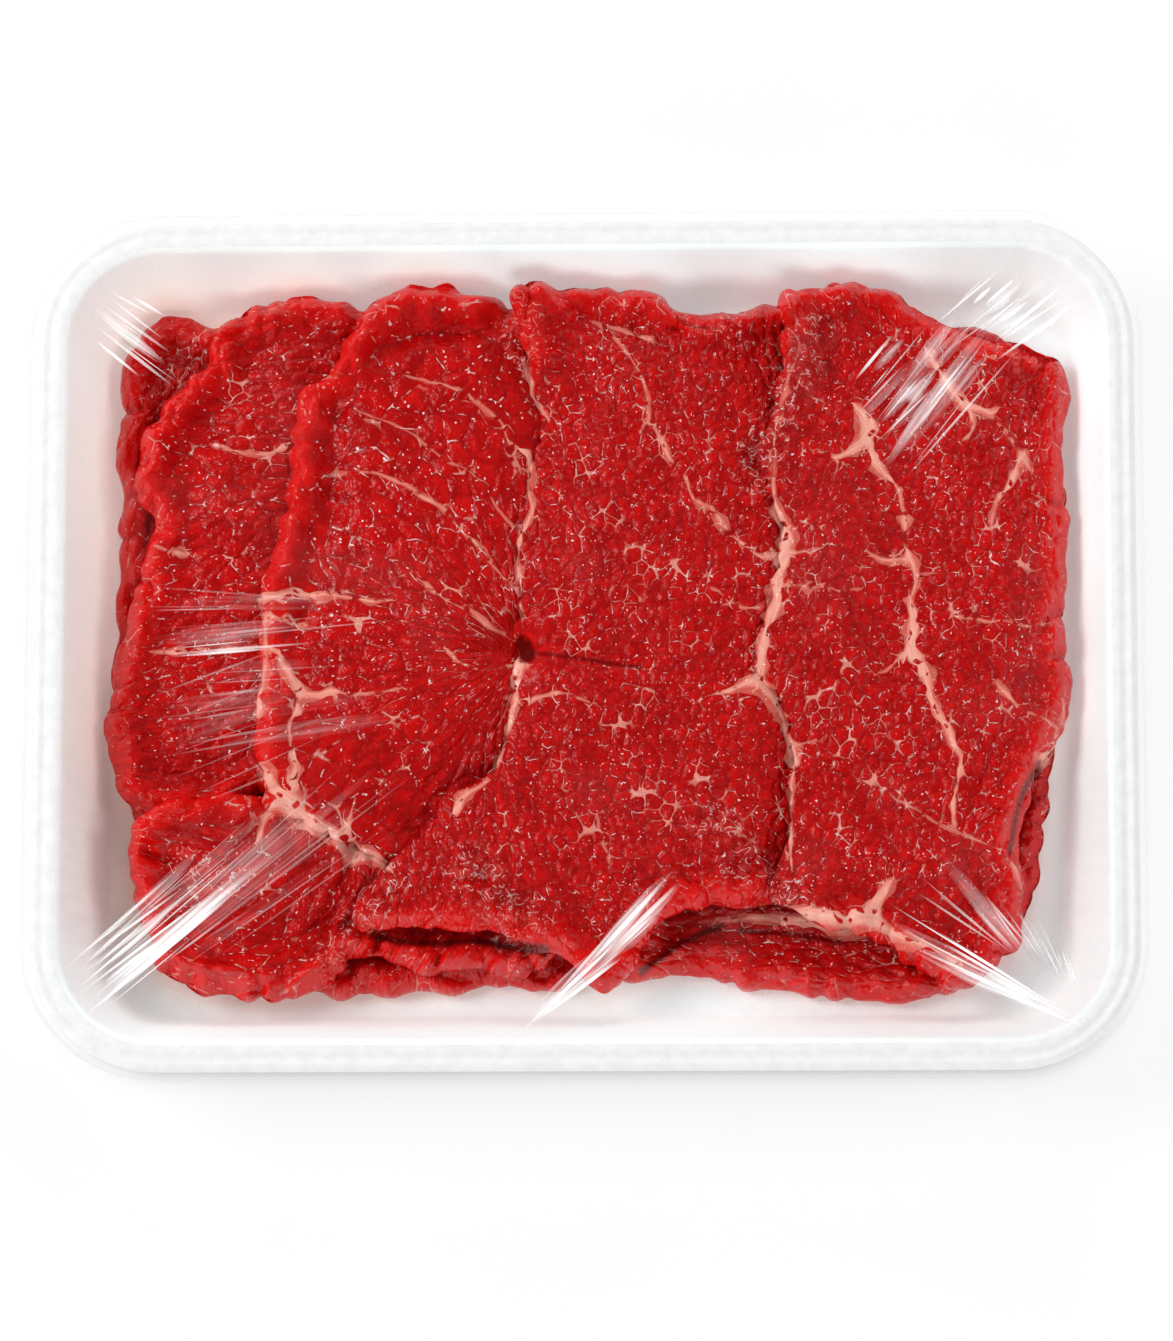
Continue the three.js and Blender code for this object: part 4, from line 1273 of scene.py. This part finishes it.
def bent_by(tree, point, scale, reach):
    """The plan moved about by noise, so that no border drawn in it is straight."""
    wave = noise(tree, point, scale, 1, "Color")
    moved = add(tree, "VectorMath", {0: wave, 1: (reach, reach, reach)}, operation="MULTIPLY")
    return add(tree, "VectorMath", {0: point, 1: moved.outputs[0]}).outputs[0]


def make_beef():
    material, tree, shader = new_material("raw_beef")
    point, grain = in_mm(tree), uv_mm(tree)
    read = {
        name: add(tree, "Attribute", attribute_name=name).outputs["Fac"]
        for name in ("fat", "vein_half", "vein_away", "rim", "crumple", "gap_shade", "star", "bare")
    }

    # Seams. Close to a stroke its own distance is finer than the depth from the mesh's corners.
    exact = maths(tree, "SUBTRACT", read["vein_half"], maths(tree, "ABSOLUTE", read["vein_away"]))
    far = maths(tree, "MULTIPLY", ramp(tree, read["fat"], -0.7, -1.0), 9.0)
    depth = maths(tree, "MAXIMUM", read["fat"], maths(tree, "SUBTRACT", exact, far))
    rough = noise(tree, point, 0.9, 2)
    # Round bundles press into a seam, so it is narrow beside them and reaches out between them.
    pressed = maths(tree, "SUBTRACT", cell(tree, bent_by(tree, point, 0.20, 3.0), 0.20)["Distance"], 0.45)
    give = maths(tree, "MULTIPLY", ramp(tree, read["vein_half"], 0.1, 1.2), 2.4)
    reached = maths(tree, "ADD", depth, maths(tree, "MULTIPLY", pressed, maths(tree, "ADD", give, 0.5)))
    seam = ramp(tree, reached, -0.30, -0.05)
    hole = maths(tree, "MULTIPLY", ramp(tree, noise(tree, point, 0.50, 0), 0.71, 0.76), ramp(tree, depth, 0.4, 0.8))
    # A slender seam is a chain of short pieces.
    slender = ramp(tree, read["vein_half"], 0.65, 0.35)
    parted = maths(tree, "MULTIPLY", slender, ramp(tree, noise(tree, point, 0.33, 1), 0.47, 0.41))
    missing = maths(tree, "MAXIMUM", maths(tree, "MAXIMUM", hole, read["gap_shade"]), parted)
    seam = maths(tree, "MULTIPLY", seam, maths(tree, "SUBTRACT", 1.0, missing))

    # Bundles of fibre are cells drawn out along the grain. The web of fat lies along some of
    # their borders and widens where three of them meet.
    bundle_map = bent_by(tree, stretch(tree, grain, (0.30, 0.36, 1)), 0.9, 0.5)
    border = cell(tree, bundle_map, 1.0, "DISTANCE_TO_EDGE")["Distance"]
    bundle = cell(tree, bundle_map, 1.0)
    tint = add(tree, "SeparateColor", {0: bundle["Color"]}).outputs[0]
    drift = noise(tree, point, 0.10, 4)
    patch = noise(tree, point, 0.40, 1)
    junction = ramp(tree, bundle["Distance"], 0.50, 0.85)
    beside = ramp(tree, depth, -2.2, -0.2, 0.0, 0.8)
    star = read["star"]
    presence = maths(tree, "MAXIMUM", ramp(tree, drift, 0.54, 0.64, 0.0, 0.6), maths(tree, "MAXIMUM", beside, star))
    broken = maths(tree, "MAXIMUM", ramp(tree, patch, 0.44, 0.54), ramp(tree, star, 0.70, 0.95))
    presence = maths(tree, "MULTIPLY", presence, broken)
    corner = maths(tree, "MULTIPLY", junction, junction)
    width = maths(tree, "MULTIPLY", corner, maths(tree, "ADD", 0.08, maths(tree, "MULTIPLY", star, 0.24)))
    width = maths(tree, "ADD", width, 0.012)
    line = maths(tree, "MULTIPLY", ramp(tree, maths(tree, "SUBTRACT", width, border), -0.024, 0.010), presence)

    # Painted highlights, as glints: arcs along other borders, broken stretches of the borders of finer
    # cells, and dots. Where the skin is crumpled, they are contour lines of a noise, as on nested wrinkles.
    fibre_map = bent_by(tree, stretch(tree, grain, (0.60, 0.85, 1)), 0.9, 0.8)
    fibre_edge = cell(tree, fibre_map, 1.0, "DISTANCE_TO_EDGE")["Distance"]
    crowd = maths(tree, "MULTIPLY", maths(tree, "SUBTRACT", drift, 0.5), 0.35)
    fine = noise(tree, point, 0.80, 1)
    swirl = maths(tree, "SINE", maths(tree, "MULTIPLY", noise(tree, point, 0.28, 1), 17.0))
    contour = ramp(tree, maths(tree, "ABSOLUTE", swirl), 0.26, 0.06)
    contour = maths(tree, "MULTIPLY", contour, ramp(tree, maths(tree, "ADD", patch, maths(tree, "MULTIPLY", fine, 0.6)), 0.76, 0.86))
    contour = maths(tree, "MULTIPLY", contour, ramp(tree, read["crumple"], 0.2, 0.9, 0.0, 0.75))
    arc = maths(tree, "MULTIPLY", ramp(tree, border, 0.034, 0.010), ramp(tree, maths(tree, "ADD", patch, crowd), 0.60, 0.70))
    arc = maths(tree, "MULTIPLY", arc, ramp(tree, fine, 0.35, 0.75, 0.10, 0.65))
    dash = maths(tree, "MULTIPLY", ramp(tree, fibre_edge, 0.09, 0.03), ramp(tree, maths(tree, "ADD", fine, crowd), 0.73, 0.81))
    dots = cell(tree, stretch(tree, grain, (0.62, 0.85, 1)), 1.0)
    chance = add(tree, "SeparateColor", {0: dots["Color"]}).outputs
    dot_size = maths(tree, "MULTIPLY", maths(tree, "SUBTRACT", chance[0], 0.55), 0.22)
    dot = ramp(tree, maths(tree, "SUBTRACT", dot_size, dots["Distance"]), -0.05, 0.03)
    dot = maths(tree, "MULTIPLY", dot, ramp(tree, chance[1], 0.3, 1.0, 0.06, 0.9))
    glints = maths(tree, "MAXIMUM", maths(tree, "MAXIMUM", arc, dash), maths(tree, "MAXIMUM", dot, contour))
    shown = maths(tree, "SUBTRACT", 1.0, read["bare"])
    glints = maths(tree, "MULTIPLY", glints, maths(tree, "MULTIPLY", shown, ramp(tree, read["rim"], 2.0, 7.0, 0.45, 1.0)))
    line = maths(tree, "MULTIPLY", line, shown)

    # Colours.
    blotch = noise(tree, stretch(tree, grain, (0.35, 0.6, 1)), 1.0, 3)
    shade = maths(tree, "ADD", maths(tree, "MULTIPLY", tint, 0.25), maths(tree, "MULTIPLY", drift, 0.9))
    lean = mix(tree, ramp(tree, shade, 0.30, 0.85), LEAN_DARK, LEAN_MIDDLE)
    lean = mix(tree, ramp(tree, blotch, 0.40, 0.75, 0, 0.6), lean, LEAN_BRIGHT)
    # Painted shade: a darker red along the bundles' borders, in the grooves between them.
    groove_shade = maths(tree, "MULTIPLY", ramp(tree, border, 0.16, 0.0), ramp(tree, drift, 0.35, 0.65, 0.20, 0.55))
    lean = mix(tree, maths(tree, "MULTIPLY", groove_shade, shown), lean, GROOVE_SHADE_RED)
    # Painted light: towards the rim the red is lighter, for light shining through the thin lips.
    lean = mix(tree, ramp(tree, read["rim"], 7.5, 2.0, 0, 0.7), lean, LIP_LIT_RED)
    skin = maths(tree, "MULTIPLY", read["crumple"], ramp(tree, patch, 0.42, 0.65, 0.0, 0.30))
    lean = mix(tree, skin, lean, SKIN_PINK)
    lean = mix(tree, maths(tree, "MULTIPLY", line, 0.75), lean, FAT_LINE)
    side = maths(tree, "MULTIPLY", read["vein_away"], 3.0)
    lengthwise = add(tree, "CombineXYZ", {0: side, 1: add(tree, "SeparateXYZ", {0: stretch(tree, point, (0.2, 0.25, 1))}).outputs[1]})
    streaks = noise(tree, lengthwise.outputs[0], 1.0, 2)
    paleness = maths(tree, "ADD", streaks, ramp(tree, depth, 0.0, 1.2, -0.15, 0.25))
    fat_colour = mix(tree, ramp(tree, paleness, 0.15, 1.10), FAT_DEEP, FAT_PALE)
    colour = mix(tree, maths(tree, "MULTIPLY", seam, ramp(tree, depth, -0.1, 0.55, 0.45, 1.0)), lean, fat_colour)
    # Painted highlights: the glints, in a whitish pink.
    colour = mix(tree, glints, colour, PAINTED_GLINT)
    # Painted shade: a dark red in the gaps, creases and hollows that no light reaches.
    colour = mix(tree, maths(tree, "MULTIPLY", read["gap_shade"], 0.85), colour, GAP_SHADE_RED)
    tree.links.new(colour, shader.inputs["Base Color"])

    # Relief in mm: domes of fibre cells and soft lumps, smoothed over where the fat is, and
    # ridges where the skin is crumpled.
    domes = maths(tree, "MULTIPLY", ramp(tree, border, 0.0, 0.40, 0, 0.36), shown)
    lumps = maths(tree, "ADD", domes, maths(tree, "MULTIPLY", rough, 0.38))
    ridges = maths(tree, "MULTIPLY", ramp(tree, fibre_edge, 0.0, 0.3), read["crumple"])
    lumps = maths(tree, "ADD", lumps, maths(tree, "MULTIPLY", ridges, 0.20))
    calm = maths(tree, "SUBTRACT", 1.0, maths(tree, "MULTIPLY", seam, 0.7))
    height = maths(tree, "MULTIPLY", lumps, calm)
    set_bump(tree, shader, height)

    tree.links.new(ramp(tree, read["gap_shade"], 0.2, 0.9, 0.22, 0.06), shader.inputs["Roughness"])
    shader.inputs["Specular IOR Level"].default_value = 0.5
    return material


beef = make_beef()
for piece in slices:
    piece.data.materials.append(beef)

# %% [markdown]
# Film shows only where it is seen aslant or gathered. One material serves the sheet: nearly
# clear, with a veil that grows towards grazing angles. The creases have their own: white where
# they are narrow, a thin veil with bright edges where they are broad. Their white is partly the
# stretched film's own and partly a painted highlight, helped by a faint painted glow.

# %% Film


def make_film():
    material, tree, shader = new_material("clear_film")
    haze = add(tree, "Attribute", attribute_name="haze").outputs["Fac"]
    shader.inputs["Base Color"].default_value = (0.98, 0.98, 0.98, 1)
    shader.inputs["Roughness"].default_value = 0.12
    shader.inputs["IOR"].default_value = 1.3
    slant = maths(tree, "SUBTRACT", add(tree, "Fresnel", {"IOR": 1.10}).outputs[0], 0.006)
    alpha = maths(tree, "ADD", maths(tree, "MULTIPLY", maths(tree, "MAXIMUM", slant, 0.0), 0.22), haze, clamp=True)
    tree.links.new(alpha, shader.inputs["Alpha"])
    return material


def make_creases():
    material, tree, shader = new_material("gathered_film")
    strength = add(tree, "Attribute", attribute_name="strength").outputs["Fac"]
    band = add(tree, "Attribute", attribute_name="band").outputs["Fac"]
    streaks = noise(tree, stretch(tree, uv_mm(tree), (0.04, 1.1, 1)), 1.0, 3)
    shader.inputs["Base Color"].default_value = (1, 1, 1, 1)
    shader.inputs["Roughness"].default_value = 0.2
    # Painted light: a faint white glow keeps the creases bright, as the sheen of light along them would.
    shader.inputs["Emission Color"].default_value = (1, 1, 1, 1)
    shader.inputs["Emission Strength"].default_value = 0.25
    material.cycles.emission_sampling = "NONE"
    narrow = maths(tree, "MULTIPLY", ramp(tree, streaks, 0.2, 0.5, 0.5, 1.0), 0.8)
    broad = ramp(tree, streaks, 0.35, 0.75, 0.05, 0.36)
    spread_alpha = maths(tree, "ADD", maths(tree, "MULTIPLY", band, maths(tree, "SUBTRACT", broad, narrow)), narrow)
    alpha = maths(tree, "MULTIPLY", spread_alpha, maths(tree, "MULTIPLY", strength, strength), clamp=True)
    tree.links.new(alpha, shader.inputs["Alpha"])
    return material


film.data.materials.append(make_film())
creases.data.materials.append(make_creases())
for piece in (film, creases):
    # Film this clear casts no shadow, and rays that have already met meat or foam may skip it.
    piece.visible_shadow = False
    piece.visible_diffuse = False
    piece.visible_glossy = False
print("film materials:", film.data.materials[0].name, creases.data.materials[0].name)

# %% [markdown]
# The tray stands on a plain pale floor under studio light: one large lamp high behind on the
# left, weaker ones low all round, and little from straight above, so that flat wet meat keeps
# its red and only tilted facets glint.

# %% Floor, light and sky
FLOOR_SIZE = 3.0
SHADE_START = 3.3
SHADE_REACH = 1.7


def make_floor():
    mesh = bpy.data.meshes.new("floor")
    half = FLOOR_SIZE / 2
    mesh.from_pydata([(-half, -half, 0), (half, -half, 0), (half, half, 0), (-half, half, 0)], [], [(0, 1, 2, 3)])
    floor = bpy.data.objects.new("floor", mesh)
    bpy.context.scene.collection.objects.link(floor)
    material, tree, shader = new_material("pale_floor")
    _, blotches = mottled(tree, in_mm(tree), 0.05, 0.5)
    colour = mix(tree, blotches, (0.24, 0.24, 0.24, 1), (0.26, 0.26, 0.26, 1))
    tree.links.new(colour, shader.inputs["Base Color"])
    shader.inputs["Roughness"].default_value = 0.9
    shader.inputs["Specular IOR Level"].default_value = 0.0
    shader.inputs["Emission Color"].default_value = (1, 1, 1, 1)
    # Painted shadow: the floor's own light is dimmed close round the rim's outline and under it.
    folded = add(tree, "VectorMath", {0: in_mm(tree)}, operation="ABSOLUTE").outputs[0]
    core = (*(RIM_HALF - RIM_CORNER), 0)
    beyond = add(tree, "VectorMath", {0: folded, 1: core}, operation="SUBTRACT").outputs[0]
    beyond = add(tree, "VectorMath", {0: beyond, 1: (0, 0, 0)}, operation="MAXIMUM").outputs[0]
    from_core = add(tree, "VectorMath", {0: beyond}, operation="LENGTH").outputs["Value"]
    into_shade = maths(tree, "SUBTRACT", from_core, RIM_CORNER - SHADE_START)
    shade = maths(tree, "EXPONENT", maths(tree, "DIVIDE", into_shade, -SHADE_REACH))
    shade = maths(tree, "MULTIPLY", maths(tree, "MINIMUM", shade, 1.0), 0.50)
    mirrored = maths(tree, "MULTIPLY", add(tree, "LightPath").outputs["Is Glossy Ray"], 0.6)
    left = maths(tree, "MULTIPLY", maths(tree, "SUBTRACT", 1.0, shade), maths(tree, "SUBTRACT", 1.0, mirrored))
    tree.links.new(maths(tree, "MULTIPLY", left, 0.745), shader.inputs["Emission Strength"])
    material.cycles.emission_sampling = "NONE"
    mesh.materials.append(material)
    return floor


LAMPS = [
    # place in metres, size in metres, watts, whether it lights matt surfaces or wet ones
    ("key", (-1.10, 0.30, 1.05), 0.80, 12.8, "matt"),
    ("right", (1.00, 0.20, 0.60), 0.70, 3.6, "matt"),
    ("front", (0.10, -1.10, 0.60), 0.90, 5.6, "matt"),
    ("left", (-1.10, -0.30, 0.80), 0.70, 1.4, "matt"),
    ("back", (0.20, 1.10, 0.60), 0.70, 4.4, "matt"),
    ("sheen", (-1.10, 0.30, 1.05), 0.30, 5.0, "wet"),
]


def make_lamp(name, place, size, power, lights):
    data = bpy.data.lights.new(name, "AREA")
    data.shape = "DISK"
    data.size = size
    data.energy = power
    lamp = bpy.data.objects.new(name, data)
    back = np.array(place) / np.linalg.norm(place)
    side = np.cross([0, 0, 1], back)
    side /= np.linalg.norm(side)
    axes = np.eye(4)
    axes[:3] = np.stack([side, np.cross(back, side), back, place], -1)
    lamp.matrix_world = Matrix(axes.tolist())
    lamp.visible_glossy = lights == "wet"
    lamp.visible_diffuse = lights == "matt"
    bpy.context.scene.collection.objects.link(lamp)


floor = make_floor()
for lamp in LAMPS:
    make_lamp(*lamp)

world = bpy.data.worlds.new("studio")
bpy.context.scene.world = world
world.use_nodes = True
sky = world.node_tree
sky.nodes.clear()
rise = add(sky, "SeparateXYZ", {0: add(sky, "TexCoord").outputs["Generated"]}).outputs["Z"]
brightness = ramp(sky, rise, 0.20, 0.95, 0.46, 0.19)
paths = add(sky, "LightPath").outputs
dimmed = maths(sky, "MULTIPLY", paths["Is Glossy Ray"], 0.90)
dimmed = maths(sky, "MULTIPLY", brightness, maths(sky, "SUBTRACT", 1.0, dimmed))
dimmed = maths(sky, "MAXIMUM", dimmed, paths["Is Camera Ray"])
world.cycles.sampling_method = "NONE"
background = add(sky, "Background", {"Color": (1, 1, 1, 1), "Strength": dimmed})
add(sky, "OutputWorld", {"Surface": background.outputs[0]})
bpy.context.scene.view_settings.view_transform = "Standard"
bpy.context.scene.cycles.transparent_max_bounces = 32
print(len(LAMPS), "lamps")
